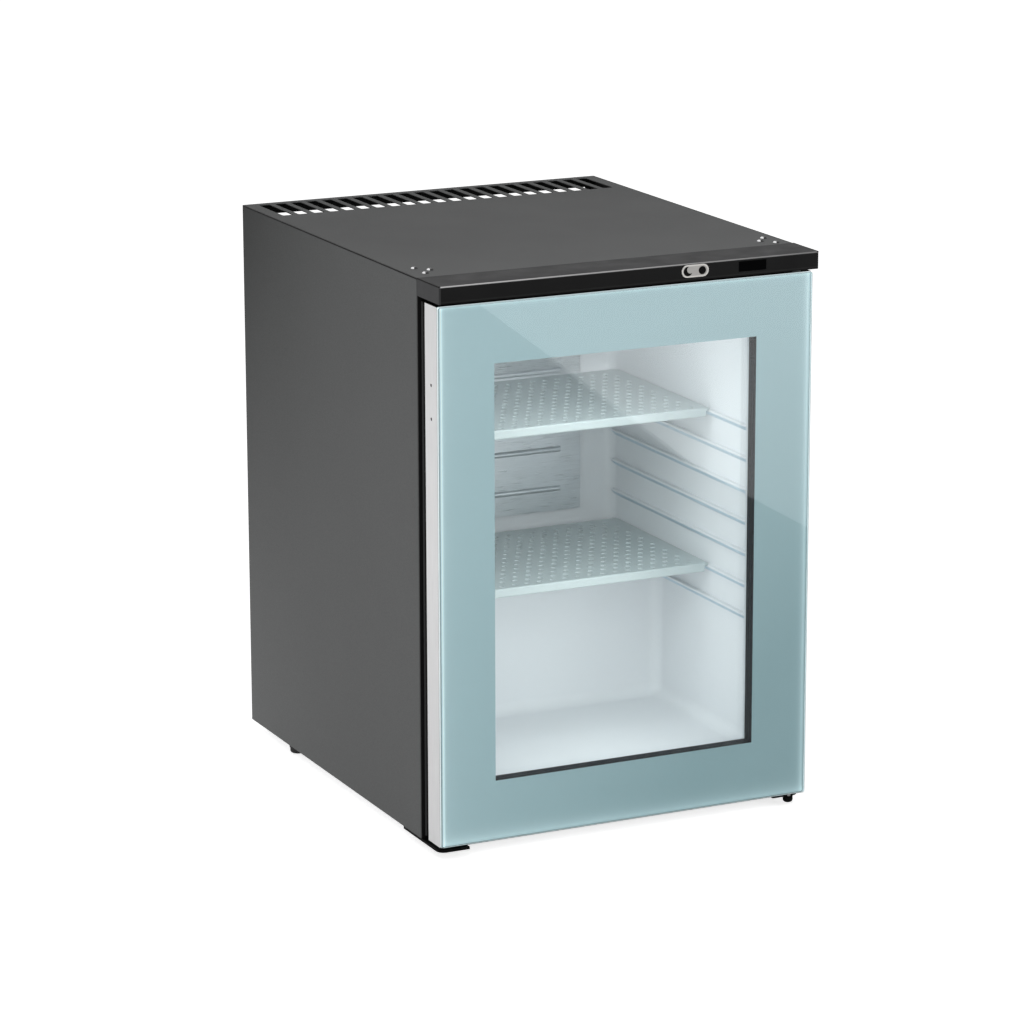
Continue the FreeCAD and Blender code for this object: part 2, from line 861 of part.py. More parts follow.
def liner_ribs():
    """Support ribs up both side walls; the ones below the step stop in front of it."""
    ribs = []
    for name, side in SIDES.items():
        for number in range(SIZES["rib_count"]):
            high = rib_top(number)
            over_step = high.value - s.rib_height.value > hump_top.value
            end = (cabin_back if over_step else hump_front) - s.rib_end_gap
            wall = half - cabin_side
            body = doc.addObject("PartDesign::Body", "%s_rib_%d" % (name, number))
            body.Label = body.Name
            root, crest = inboard(side, wall - s.liner / 2), inboard(side, wall + s.rib_depth)
            pad(body, "y", face + s.rib_front, end, polygon(
                (root, high), (crest, high), (crest, high - s.rib_nose), (root, high - s.rib_height)))
            round_off(body, s.rib_round, on_lines({"x": crest, "z": high - s.rib_nose}))
            ribs.append(body)
    return ribs


def foam_insulation():
    """Foam that fills the space between the outer sheets and the liner."""
    body = doc.addObject("PartDesign::Body", "foam_blank")
    body.Label = "foam_blank"
    foam_top = under_top - s.sheet
    pad(body, "x", -half + s.sheet, half - s.sheet, polygon(
        (face + s.sheet, base + s.sheet), (bulkhead_low, base + s.sheet), (bulkhead_low, machine_top),
        (bulkhead_high, machine_top), (bulkhead_high, foam_top), (face + s.sheet, foam_top)))
    tools = [liner_solid("foam_cavity", s.liner)]
    notch_end = s.corner_plate_inset + s.corner_plate_width + s.contact_gap
    notch_back = face + s.corner_plate_reach + s.contact_gap
    for name, side in SIDES.items():
        tools.append(block("foam_notch_" + name, between(side, s.sheet, notch_end), (face, notch_back),
                           (plate_bottom, foam_top + s.overrun)))
    drain_y = face + s.drain_back
    tools.append(rod("foam_drain_hole", "z", s.drain_across, drain_y, (machine_top - s.overrun, hump_top),
                     s.drain_radius))
    keep(cut("foam_insulation", body, tools + wall_pipe_bores("foam")), "foam_insulation")


def corner_plate(name, side, plate_front, places):
    """The flat plate under a front corner of the top, held by three rivets."""
    body = plate(name, "z", plate_bottom, under_top, rectangle(
        between(side, s.corner_plate_inset, s.corner_plate_inset + s.corner_plate_width),
        (plate_front, face + s.corner_plate_reach)))
    holes = [circle(x, y, s.rivet_shank) for x, y in places]
    if side > 0:
        holes.append(circle(pivot_x, pivot_y, s.pin_radius))
    pocket(body, "z", plate_bottom, under_top, *holes)


def top_rivets():
    """Domed rivets, three at each front corner of the top."""
    rivets = []
    for name, places in RIVETS.items():
        for number, (x, y) in enumerate(places):
            body = doc.addObject("PartDesign::Body", "rivet_%s_%d" % (name, number))
            body.Label = body.Name
            high = top + s.rivet_head_height
            pad(body, "z", plate_bottom, top, circle(x, y, s.rivet_shank))
            pad(body, "z", top, high, circle(x, y, s.rivet_head))
            round_off(body, s.rivet_round, around("z")(high, s.rivet_head))
            rivets.append(body)
    group("top_rivets", rivets)


# Control fascia

fascia_low = top - s.fascia_height
fascia_high = top + s.fascia_proud
badge_z = top - s.badge_drop


def control_fascia():
    """The hollow moulding across the top front, open at the back."""
    body = plate("control_fascia", "z", fascia_low, fascia_high, rectangle((-half, half), (front, face)))
    round_off(body, s.fascia_round, on_lines(
        {"x": -half, "y": front}, {"x": half, "y": front}, {"y": front, "z": fascia_high}))
    inner_front = front + s.fascia_front_wall
    pocket(body, "y", inner_front, face, rectangle(
        (-half + s.fascia_wall, half - s.fascia_wall),
        (fascia_low + s.fascia_wall, fascia_high - s.fascia_wall)))
    badge_half = (s.badge_length - s.badge_height) / 2
    pocket(body, "y", front, front + s.badge_depth, capsule(
        (s.badge_middle - badge_half, s.badge_middle + badge_half), badge_z,
        s.badge_height / 2 + s.badge_gap))
    display = s.display_length / 2
    pocket(body, "y", front, front + s.display_depth, rectangle(
        (s.display_middle - display, s.display_middle + display),
        (badge_z - s.display_height / 2, badge_z + s.display_height / 2)))
    opening = display - s.display_border
    pocket(body, "y", front + s.display_depth, inner_front,
           rectangle((s.display_middle - opening, s.display_middle + opening),
                     (badge_z - s.display_height / 2 + s.display_border,
                      badge_z + s.display_height / 2 - s.display_border)),
           circle(s.button_middle, badge_z, s.button_radius + s.button_clearance))
    pocket(body, "z", fascia_low, fascia_low + s.fascia_wall,
           circle(pivot_x, pivot_y, s.pin_radius + s.pin_hole_gap))
    for x in board_posts():
        pad(body, "y", inner_front, front + s.board_setback, circle(x, badge_z, s.board_post))


def board_posts():
    return (s.board_left + s.board_post_inset, s.board_right - s.board_post_inset)


def badge_plate():
    """The pale pill-shaped plate round the button."""
    badge_half = (s.badge_length - s.badge_height) / 2
    low, high = front + s.button_proud, front + s.badge_depth
    body = plate("badge_plate", "y", low, high, capsule(
        (s.badge_middle - badge_half, s.badge_middle + badge_half), badge_z, s.badge_height / 2))
    pocket(body, "y", low, high, circle(s.button_middle, badge_z, s.button_radius + s.badge_gap))


def display_window():
    length, height = s.display_length / 2 - s.display_gap, s.display_height / 2 - s.display_gap
    plate("display_window", "y", front, front + s.display_depth, rectangle(
        (s.display_middle - length, s.display_middle + length), (badge_z - height, badge_z + height)))


def control_board():
    low = badge_z - s.board_height / 2
    plate("control_board", "y", front + s.board_setback, front + s.board_setback + s.board_thickness,
          rectangle((s.board_left, s.board_right), (low, low + s.board_height)))


def display_module():
    """The lit digits' housing, between the board and the window."""
    half_length, half_height = s.module_length / 2, s.module_height / 2
    plate("display_module", "y", front + s.display_depth + s.contact_gap, front + s.board_setback,
          rectangle((s.display_middle - half_length, s.display_middle + half_length),
                    (badge_z - half_height, badge_z + half_height)))


def button_switch():
    wide, high = s.switch_width / 2, s.switch_height / 2
    back = front + s.board_setback
    plate("button_switch", "y", back - s.switch_depth, back, rectangle(
        (s.button_middle - wide, s.button_middle + wide), (badge_z - high, badge_z + high)))


def night_button():
    """The round cap, the flange that keeps it in and the stem that reaches the switch."""
    flange_front = front + s.fascia_front_wall + s.contact_gap
    flange_back = flange_front + s.button_flange
    cap = circle(s.button_middle, badge_z, s.button_radius)
    body = plate("night_button", "y", front, flange_front, cap)
    round_off(body, s.button_round, around("y")(front, s.button_radius))
    pad(body, "y", flange_front, flange_back,
        circle(s.button_middle, badge_z, s.button_radius + s.button_flange))
    stem_end = front + s.board_setback - s.switch_depth - s.button_travel - s.contact_gap
    pad(body, "y", flange_back, stem_end, circle(s.button_middle, badge_z, s.button_stem))


# Door


def glass_door():
    front_glass = plate("door_front_glass", "y", door_front, print_front, door_outline(Size(0, "0")))
    round_off(front_glass, s.glass_round, on_lines(
        {"x": door_left, "y": door_front}, {"x": door_right, "y": door_front},
        {"z": door_bottom, "y": door_front}, {"z": door_top, "y": door_front}))
    plate("border_print", "y", print_front, frame_front,
          door_outline(s.print_layer), door_outline(s.window_margin))
    spacer_back = frame_front + s.spacer_depth
    plate("glazing_spacer", "y", frame_front, spacer_back,
          door_outline(s.window_margin - s.spacer_width), door_outline(s.window_margin))
    plate("door_inner_glass", "y", spacer_back, spacer_back + s.glass,
          door_outline(s.window_margin - s.spacer_width - s.pane_overlap))


def door_frame():
    """The pale profile behind the glass: an outer wall and a front web, open to the back."""
    body = plate("door_frame", "y", frame_front, frame_back,
                 door_outline(Size(0, "0")), door_outline(s.frame_web))
    pocket(body, "y", frame_front + s.frame_wall, frame_back,
           door_outline(s.frame_wall), door_outline(s.frame_web - s.frame_wall))
    pocket(body, "y", inner_frame_front, frame_back,
           door_outline(s.frame_wall), door_outline(s.window_margin))
    for low, high in ((door_bottom, door_bottom + s.frame_wall), (door_top - s.frame_wall, door_top)):
        pocket(body, "z", low, high, circle(pivot_x, pivot_y, s.boss_radius))
    hole_z = door_top - s.handle_hole_drop + s.handle_hole_spacing / 2
    pocket(body, "x", door_left, door_left + s.frame_wall,
           circle(front + s.door_setback + s.handle_hole_back, hole_z, s.handle_hole_radius),
           circle(front + s.door_setback + s.handle_hole_back, hole_z - s.handle_hole_spacing,
                  s.handle_hole_radius))


def door_inner_frame():
    """The white moulding that closes the profile and holds the inner pane."""
    plate("door_inner_frame", "y", inner_frame_front + s.contact_gap, frame_back,
          door_outline(s.frame_wall), door_outline(s.inner_frame_margin))


def gasket():
    """The soft seal: a base, an outer lip and a hollow bulb round the magnet strip."""
    bulb_back = face - s.contact_gap
    inner = s.gasket_bulb_margin + s.gasket_bulb_width
    body = plate("door_gasket", "y", frame_back, frame_back + s.gasket_base,
                 door_outline(s.gasket_lip_margin), door_outline(inner))
    pad(body, "y", frame_back, frame_back + s.gasket_lip_reach, door_outline(s.gasket_lip_margin),
        door_outline(s.gasket_lip_margin + s.gasket_skin))
    pad(body, "y", frame_back, bulb_back, door_outline(s.gasket_bulb_margin), door_outline(inner))
    hollow = (door_outline(s.gasket_bulb_margin + s.gasket_skin), door_outline(inner - s.gasket_skin))
    magnet_back = bulb_back - s.gasket_skin
    magnet_front = magnet_back - s.magnet_depth
    pocket(body, "y", magnet_front, magnet_back, *hollow)
    pocket(body, "y", frame_back + s.gasket_base, magnet_front - s.gasket_skin, *hollow)
    plate("gasket_magnets", "y", magnet_front, magnet_back, *hollow)


def hinge_blocks():
    """Plastic blocks inside the door's profile, with a boss through its wall and a bore for the pin."""
    right = door_right - s.frame_wall
    left = right - s.block_width
    depth = (frame_front + s.frame_wall, inner_frame_front)
    boss = s.door_floor_gap - s.contact_gap
    spans = {
        "upper_hinge_block": (door_top - s.frame_wall - s.block_height, door_top - s.frame_wall,
                              door_top - s.frame_wall, door_top + boss),
        "lower_hinge_block": (door_bottom + s.frame_wall, door_bottom + s.frame_wall + s.block_height,
                              door_bottom - boss, door_bottom + s.frame_wall),
    }
    for name, (low, high, boss_low, boss_high) in spans.items():
        body = plate(name, "z", low, high, rectangle((left, right), depth))
        pad(body, "z", boss_low, boss_high, circle(pivot_x, pivot_y, s.boss_radius))
        pocket(body, "z", least(low, boss_low), least(low, boss_low) + s.block_height + s.frame_wall + boss,
               circle(pivot_x, pivot_y, s.pin_radius + s.pin_clearance))


# Door hinge on the cabinet


def hinge_pins():
    upper_low = door_top - s.pin_engagement
    keep(rod("upper_hinge_pin", "z", pivot_x, pivot_y, (upper_low, under_top), s.pin_radius),
         "upper_hinge_pin")
    keep(rod("lower_hinge_pin", "z", pivot_x, pivot_y,
             (base - s.lower_bracket - s.nut_bore, door_bottom + s.pin_engagement), s.pin_radius),
         "lower_hinge_pin")


def lower_plate(name, side, plate_front, outer, width, holes):
    """A flat plate under the shell that reaches forward under the door, with a rounded front corner."""
    low = base - s.lower_bracket
    body = plate(name, "z", low, base, rectangle(
        between(side, outer, outer + width), (plate_front, face + s.lower_bracket_reach)))
    round_off(body, s.bracket_corner, on_lines({"x": inboard(side, outer), "y": plate_front}))
    pocket(body, "z", low, base, *holes)


BRACKETS = {
    "left_corner_bracket": (-1, s.left_bracket_setback, Size(0, "0"), s.left_bracket_width),
    "lower_hinge_bracket": (1, s.hinge_bracket_setback, s.hinge_bracket_inset, s.hinge_bracket_width),
}


def bracket_screw_places(name):
    side, _, outer, width = BRACKETS[name]
    x = inboard(side, outer + width / 2)
    far = face + s.lower_bracket_reach - s.bracket_screw_margin
    return [(x, far), (x, far - s.bracket_screw_spacing)]


def lower_brackets():
    screws = []
    for name, (side, setback, outer, width) in BRACKETS.items():
        places = bracket_screw_places(name)
        holes = [circle(x, y, s.bracket_screw_radius) for x, y in places]
        if side > 0:
            holes.append(circle(pivot_x, pivot_y, s.pin_radius))
        lower_plate(name, side, front + setback, outer, width, holes)
        screws += [pan_screw("%s_screw_%d" % (name, number), x, y, base - s.lower_bracket)
                   for number, (x, y) in enumerate(places)]
    group("bracket_screws", screws)


def pan_screw(name, x, y, seat):
    """A screw driven upwards from its seat."""
    shank = rod(name + "_shank", "z", x, y, (seat, base + s.sheet), s.bracket_screw_radius)
    head = rod(name + "_head", "z", x, y, (seat - s.bracket_screw_head_height, seat), s.bracket_screw_head)
    return fuse(name, [shank, head])


def lower_hinge_nut():
    """The domed nut under the hinge bracket, threaded on the pin's end."""
    seat = base - s.lower_bracket
    low = seat - s.nut_height
    body = plate("lower_hinge_nut", "z", low, seat, circle(pivot_x, pivot_y, s.nut_radius))
    round_off(body, s.nut_round, around("z")(low, s.nut_radius))
    pocket(body, "z", seat - s.nut_bore, seat, circle(pivot_x, pivot_y, s.pin_radius))


# Feet


def feet():
    """Four rubber feet, narrower in their lower half."""
    floor = Size(0, "0")
    narrow = s.foot_radius - s.foot_taper / 2
    places = [(inboard(side, s.rear_foot_in), rear - s.rear_foot_from_back) for side in SIDES.values()]
    places += [(inboard(side, s.front_foot_in), front + s.front_foot_back) for side in SIDES.values()]
    rubbers = []
    for number, (x, y) in enumerate(places):
        body = doc.addObject("PartDesign::Body", "foot_%d" % number)
        body.Label = body.Name
        pad(body, "z", floor, base, circle(x, y, narrow))
        round_off(body, s.foot_round, around("z")(floor, narrow))
        pad(body, "z", s.foot_step, base, circle(x, y, s.foot_radius))
        rubbers.append(body)
    group("feet", rubbers)


# Shelves


def shelf(name, rib):
    """A perforated sheet with a rolled lip at its front, resting on a pair of ribs."""
    seat = rib_top(rib)
    edge = cabin_side - s.shelf_side_gap
    shelf_front = face + s.shelf_setback
    shelf_back = shelf_front + s.shelf_depth
    body = plate(name, "z", seat, seat + s.shelf_sheet, rectangle((-edge, edge), (shelf_front, shelf_back)))
    round_off(body, s.shelf_corner, on_lines({"x": -edge, "y": shelf_front}, {"x": edge, "y": shelf_front}))
    first_row = shelf_front + s.hole_front_margin
    for offset, label in ((0, "even"), (1, "odd")):
        add_hole_rows(body, seat, first_row + s.hole_row_pitch * offset, offset)
    lip_low, lip_high = seat - s.shelf_lip_drop, seat + s.shelf_sheet + s.shelf_lip_rise
    inner = edge - s.rib_depth - s.shelf_side_gap
    pad(body, "y", shelf_front, shelf_front + s.shelf_lip_depth,
        rectangle((-inner, inner), (lip_low, lip_high)))
    round_off(body, s.shelf_lip_round, on_lines(
        {"y": shelf_front, "z": lip_low}, {"y": shelf_front, "z": lip_high},
        {"y": shelf_front + s.shelf_lip_depth, "z": lip_high}))


def add_hole_rows(body, seat, row_y, offset):
    """Every other row of the staggered holes."""
    columns = s.hole_columns - offset
    first = -s.hole_pitch * (columns - 1) / 2
    hole = pocket(body, "z", seat, seat + s.shelf_sheet, circle(first, row_y, s.hole_radius))
    across = body.newObject("PartDesign::LinearPattern", body.Label + "_columns")
    along = body.newObject("PartDesign::LinearPattern", body.Label + "_rows")
    for pattern, role, length, count in (
            (across, "X_Axis", s.hole_pitch * (columns - 1), columns),
            (along, "Y_Axis", s.hole_row_pitch * (s.hole_rows - 2), s.hole_rows / 2)):
        line = next(item for item in body.Origin.OriginFeatures if item.Role == role)
        pattern.Direction = (line, [""])
        bind(pattern, "Length", length)
        bind(pattern, "Occurrences", count)
    grid = body.newObject("PartDesign::MultiTransform", body.Label + "_grid")
    grid.Originals = [hole]
    grid.Transformations = [across, along]
    body.Tip = grid


# Cold side


def evaporator():
    """The roll-bonded cold plate on the back wall, with its raised channel runs and four posts."""
    plate_back = cabin_back - s.plate_standoff
    plate_front = plate_back - s.plate_thickness
    low, high = base + s.plate_low, base + s.plate_low + s.plate_height
    wide = s.plate_width / 2
    sheet_body = doc.addObject("PartDesign::Body", "cold_sheet")
    sheet_body.Label = "cold_sheet"
    pad(sheet_body, "y", plate_front, plate_back, rectangle((-wide, wide), (low, high)))
    runs = int((SIZES["plate_height"] - 2 * SIZES["channel_margin"]) // SIZES["channel_pitch"]) + 1
    inner = wide - s.channel_margin
    first = low + s.channel_margin
    channels = [rod("channel_%d" % number, "x", plate_front, first + s.channel_pitch * number,
                    (-inner, inner), s.channel_radius) for number in range(runs)]
    behind = block("channel_trim", (-wide, wide), (plate_back, cabin_back), (low, high))
    cold = cut("cold_sheet_with_channels", fuse("cold_blank", [sheet_body] + channels), [behind])
    inset = s.plate_post_inset
    places = [(x, z) for x in (-wide + inset, wide - inset) for z in (low + inset, high - inset)]
    posts = [rod("plate_post_%d" % number, "y", x, z, (plate_front, cabin_back),
                 s.plate_post) for number, (x, z) in enumerate(places)]
    keep(fuse("evaporator_plate", [cold] + posts), "evaporator_plate")


def interior_lamp():
    """The ceiling lamp: a clear cover over a strip board."""
    length = s.lamp_length / 2
    low = cabin_ceiling - s.lamp_height
    y_low = face + s.lamp_setback
    y_high = y_low + s.lamp_width
    body = plate("lamp_cover", "z", low, cabin_ceiling, rectangle((-length, length), (y_low, y_high)))
    round_off(body, s.lamp_round, on_lines({"y": y_low, "z": low}, {"y": y_high, "z": low}))
    wall = s.lamp_wall
    pocket(body, "z", low + s.lamp_round, cabin_ceiling, rectangle(
        (-length + wall, length - wall), (y_low + wall, y_high - wall)))
    inset = s.lamp_board_inset
    plate("lamp_board", "z", cabin_ceiling - s.board_thickness, cabin_ceiling, rectangle(
        (-length + inset, length - inset), (y_low + inset, y_high - inset)))


def temperature_probe():
    """The probe and the clip that holds it on the right wall."""
    x = cabin_side - s.probe_radius - s.clip_wall
    y = face + s.probe_back
    z = base + s.probe_height
    keep(rod("temperature_probe", "y", x, z, (y, y + s.probe_length), s.probe_radius), "temperature_probe")
    side = s.probe_radius + s.clip_wall
    low = y + (s.probe_length - s.clip_length) / 2
    high = low + s.clip_length
    body = plate("probe_clip", "y", low, high, rectangle((x - side, x + side), (z - side, z + side)))
    pocket(body, "y", low, high, circle(x, z, s.probe_radius))


def drain_tube():
    """The tube that carries defrost water from the step down to the tray."""
    y = face + s.drain_back
    tray_high = machine_floor + s.grommet_height + s.compressor_height + s.tray_height
    span = (least(tray_high, machine_top) - s.drain_wall, hump_top)
    outer = rod("drain_tube_outer", "z", s.drain_across, y, span, s.drain_radius)
    inner = rod("drain_tube_bore", "z", s.drain_across, y, (span[0] - s.overrun, span[1] + s.overrun),
                s.drain_radius - s.drain_wall)
    keep(cut("drain_tube", outer, [inner]), "drain_tube")


# Machine compartment

compressor_y = rear - s.compressor_from_back
compressor_low = machine_floor + s.grommet_height
compressor_high = compressor_low + s.compressor_height


def compressor_plate():
    """The plate that carries the compressor, with a lip up at its front and its back."""
    low_y, high_y = bulkhead_low + s.sheet + s.contact_gap, rear
    body = plate("compressor_plate", "z", base, machine_floor,
                 rectangle((-half + s.sheet, half - s.sheet), (low_y, high_y - s.sheet)))
    inner = half - s.rear_flange - s.contact_gap
    lip = rectangle((-inner, inner), (base, base + s.machine_lip))
    pad(body, "y", high_y - s.machine_sheet, high_y, lip)
    pad(body, "y", low_y, low_y + s.machine_sheet, lip)
    bolts = [circle(x, y, s.mount_bolt) for x, y in leg_places()]
    pocket(body, "z", base, machine_floor, *bolts)


def leg_places():
    across = s.leg_length / 2 - s.leg_inset
    along = s.leg_width / 2 - s.leg_inset
    return [(s.compressor_across + across * i, compressor_y + along * j) for i in (-1, 1) for j in (-1, 1)]


def compressor():
    """The sealed can with its seam ring, on a leg plate."""
    body = plate("compressor", "z", compressor_low, compressor_high,
                 circle(s.compressor_across, compressor_y, s.compressor_radius))
    round_off(body, s.compressor_dome, around("z")(compressor_high, s.compressor_radius))
    round_off(body, s.compressor_belly, around("z")(compressor_low, s.compressor_radius))
    ring_low = compressor_low + s.seam_ring_rise
    pad(body, "z", ring_low, ring_low + s.seam_ring_height,
        circle(s.compressor_across, compressor_y, s.compressor_radius + s.seam_ring))
    x, y = s.leg_length / 2, s.leg_width / 2
    pad(body, "z", compressor_low, compressor_low + s.leg_thickness, rectangle(
        (s.compressor_across - x, s.compressor_across + x), (compressor_y - y, compressor_y + y)))
    pocket(body, "z", compressor_low, compressor_low + s.leg_thickness,
           *[circle(x, y, s.mount_bolt) for x, y in leg_places()])


def compressor_mounts():
    """A rubber grommet under each leg corner and the bolt that goes through it."""
    grommets, bolts = [], []
    for number, (x, y) in enumerate(leg_places()):
        ring = rod("grommet_ring_%d" % number, "z", x, y, (machine_floor, compressor_low), s.grommet_radius)
        bore = rod("grommet_bore_%d" % number, "z", x, y, (machine_floor, compressor_low), s.mount_bolt)
        grommets.append(cut("grommet_%d" % number, ring, [bore]))
        seat = compressor_low + s.leg_thickness
        shank = rod("mount_shank_%d" % number, "z", x, y, (base, seat), s.mount_bolt)
        head = rod("mount_head_%d" % number, "z", x, y, (seat, seat + s.mount_bolt_head_height),
                   s.mount_bolt_head)
        bolts.append(fuse("mount_bolt_%d" % number, [shank, head]))
    group("compressor_grommets", grommets)
    group("compressor_bolts", bolts)


def relay_box():
    """The starting gear's cover on the can's left side."""
    x_high = s.compressor_across - s.compressor_radius
    low = compressor_low + s.compressor_belly
    body = plate("relay_box", "z", low, low + s.relay_height, rectangle(
        (x_high - s.relay_width, s.compressor_across),
        (compressor_y - s.relay_depth / 2, compressor_y + s.relay_depth / 2)))
    left = x_high - s.relay_width
    round_off(body, s.relay_round, on_lines(
        {"x": left, "y": compressor_y - s.relay_depth / 2},
        {"x": left, "y": compressor_y + s.relay_depth / 2},
        {"x": left, "z": low + s.relay_height}))
    can = rod("relay_trim", "z", s.compressor_across, compressor_y, (compressor_low, compressor_high),
              s.compressor_radius + s.seam_ring)
    pieces.remove(body)
    body.Label = "relay_blank"
    keep(cut("relay_box", body, [can]), "relay_box")


def evaporating_tray():
    """The open tray on top of the compressor, where defrost water dries up."""
    x, y = s.tray_length / 2, s.tray_width / 2
    low, high = compressor_high, compressor_high + s.tray_height
    middle = s.compressor_across
    body = plate("evaporating_tray", "z", low, high,
                 rectangle((middle - x, middle + x), (compressor_y - y, compressor_y + y)))
    round_off(body, s.tray_round, on_lines(
        *[{"x": middle + x * i, "y": compressor_y + y * j} for i in (-1, 1) for j in (-1, 1)]))
    wall = s.tray_wall
    x, y = x - s.tray_well_inset, y - s.tray_well_inset
    pocket(body, "z", low + wall, high,
           rectangle((middle - x, middle + x), (compressor_y - y, compressor_y + y)))


def electronics():
    """The box beside the compressor and the power inlet in its back."""
    x_high = half - s.sheet - s.box_side_gap
    x_low = x_high - s.box_width
    y_high = rear - s.box_rear_gap
    y_low = y_high - s.box_depth
    z_high = machine_floor + s.box_height
    body = plate("electronics_box", "z", machine_floor, z_high,
                 rectangle((x_low, x_high), (y_low, y_high)))
    round_off(body, s.box_round, on_lines(
        *[{"x": x, "y": y} for x in (x_low, x_high) for y in (y_low, y_high)],
        *[{"z": z_high, "x": x} for x in (x_low, x_high)],
        *[{"z": z_high, "y": y} for y in (y_low, y_high)]))
    wall = s.box_wall
    pocket(body, "z", machine_floor, z_high - s.box_round, rectangle(
        (x_low + wall, x_high - wall), (y_low + wall, y_high - wall)))
    middle = x_low + s.box_width / 2
    left, right = middle - s.inlet_width / 2, middle + s.inlet_width / 2
    low = machine_floor + s.inlet_rise
    high = low + s.inlet_height
    pocket(body, "y", y_high - wall, y_high, rectangle((left, right), (low, high)))
    inlet_front = y_high - s.inlet_depth
    inlet_back = y_high + s.inlet_proud
    inlet = plate("power_inlet", "y", inlet_front, inlet_back, rectangle((left, right), (low, high)))
    shell = s.inlet_wall
    floor = inlet_front + s.inlet_floor
    pocket(inlet, "y", floor, inlet_back,
           rectangle((left + shell, right - shell), (low + shell, high - shell)))
    centre = low + s.inlet_height / 2
    low_pins = centre - s.inlet_pin_drop
    pins = [(middle - s.inlet_pin_pitch, low_pins), (middle + s.inlet_pin_pitch, low_pins),
            (middle, centre + s.inlet_earth_rise)]
    pad(inlet, "y", floor, inlet_back - s.inlet_wall, *[circle(x, z, s.inlet_pin) for x, z in pins])


# Refrigerant circuit

circuit_y = rear - s.pipe_from_back
condenser_y = bulkhead_high + s.condenser_gap
wall_y = bulkhead_high + s.wall_pipe_gap
condenser_bottom = base + s.condenser_low
condenser_top = condenser_bottom + s.condenser_pitch * (s.condenser_runs - 1)
drier_bottom = base + s.drier_low
drier_top = drier_bottom + s.drier_length


def step(start, end):
    """The one axis on which two points of a pipe's route differ, and which way it goes."""
    moves = [(axis, last.value - first.value) for axis, first, last in zip("xyz", start, end)]
    axis, length = max(moves, key=lambda move: abs(move[1]))
    return axis, (1 if length > 0 else -1), abs(length)


def shifted(point, axis, distance):
    return tuple(place + distance if name == axis else place for name, place in zip("xyz", point))


def pipe(label, route, radius, bend):
    """A bent rod along a route of legs that each follow an axis, with a rounded bend at every corner."""
    legs = [step(start, end) for start, end in zip(route, route[1:])]
    parts = []
    for number, ((axis, way, _), start, end) in enumerate(zip(legs, route, route[1:])):
        if number:
            start = shifted(start, axis, bend * way)
        if number < len(legs) - 1:
            end = shifted(end, axis, bend * -way)
        places = dict(zip("xyz", start))
        ends = (places[axis], dict(zip("xyz", end))[axis])
        if abs(ends[1].value - ends[0].value) > 1e-6:
            first, second = ACROSS[axis]
            parts.append(rod("%s_leg_%d" % (label, number), axis, places[first], places[second],
                             ends if way > 0 else ends[::-1], radius))
    for number, corner in enumerate(route[1:-1]):
        name = "%s_bend_%d" % (label, number)
        parts.append(elbow(name, corner, legs[number], legs[number + 1], radius, bend))
    solid = parts[0] if len(parts) == 1 else fuse(label, parts)
    return keep(solid, label)


def elbow(name, corner, leg_in, leg_out, radius, bend):
    """A quarter of a ring that takes a pipe round a corner."""
    (axis_in, way_in, _), (axis_out, way_out, _) = leg_in, leg_out
    towards, onwards = AXES[axis_in] * way_in, AXES[axis_out] * way_out
    ring = doc.addObject("Part::Torus", name)
    outwards = onwards * -1
    turned = FreeCAD.Rotation(outwards, towards, outwards.cross(towards), "XYZ")
    ring.Placement = FreeCAD.Placement(FreeCAD.Vector(), turned)
    centre = shifted(shifted(corner, axis_in, bend * -way_in), axis_out, bend * way_out)
    for axis, place in zip("xyz", centre):
        bind(ring, "Placement.Base." + axis, place)
    bind(ring, "Radius1", bend)
    bind(ring, "Radius2", radius)
    ring.Angle3 = 90
    return ring


def condenser():
    """The tube that snakes up the back, the upright wires on it and the clips that hold it."""
    bend = s.condenser_pitch / 2
    edge = s.condenser_width / 2
    route = [(s.discharge_across, condenser_y, condenser_bottom - s.pipe_join),
             (s.discharge_across, condenser_y, condenser_bottom)]
    for number in range(SIZES["condenser_runs"]):
        z = condenser_bottom + s.condenser_pitch * number
        x = edge * (1 if number % 2 else -1)
        if number:
            route.append((route[-1][0], condenser_y, z))
        last = number == SIZES["condenser_runs"] - 1
        route.append((x + bend if last else x, condenser_y, z))
    pipe("condenser_tube", route, s.pipe_radius, bend)
    wire_y = condenser_y + s.pipe_radius + s.wire_radius + s.wire_gap
    outer = edge - s.wire_overhang
    spacing = outer * 2 / (s.wire_count - 1)
    group("condenser_wires", [
        rod("wire_%d" % number, "z", -outer + spacing * number, wire_y,
            (condenser_bottom - s.wire_overhang, condenser_top + s.wire_overhang), s.wire_radius)
        for number in range(SIZES["wire_count"])])
    clips = []
    for x in (-s.clip_across, s.clip_across):
        for run in (1, SIZES["condenser_runs"] - 2):
            z = condenser_bottom + s.condenser_pitch * run
            wide = s.clip_width / 2
            name = "clip_%d" % len(clips)
            solid = block(name + "_block", (x - wide, x + wide),
                          (bulkhead_high + s.sheet, condenser_y + s.clip_lap), (z - wide, z + wide))
            bore = rod(name + "_bore", "x", condenser_y, z, (x - wide, x + wide), s.pipe_radius)
            clips.append(cut(name, solid, [bore]))
    group("condenser_clips", clips)


def drier():
    """The filter drier, a small can with a neck at each end."""
    x, y = -s.drier_across, circuit_y
    can = rod("drier_can", "z", x, y, (drier_bottom, drier_top), s.drier_radius)
    necks = rod("drier_necks", "z", x, y,
                (drier_bottom - s.drier_neck_length, drier_top + s.drier_neck_length), s.drier_neck)
    keep(fuse("filter_drier", [can, necks]), "filter_drier")


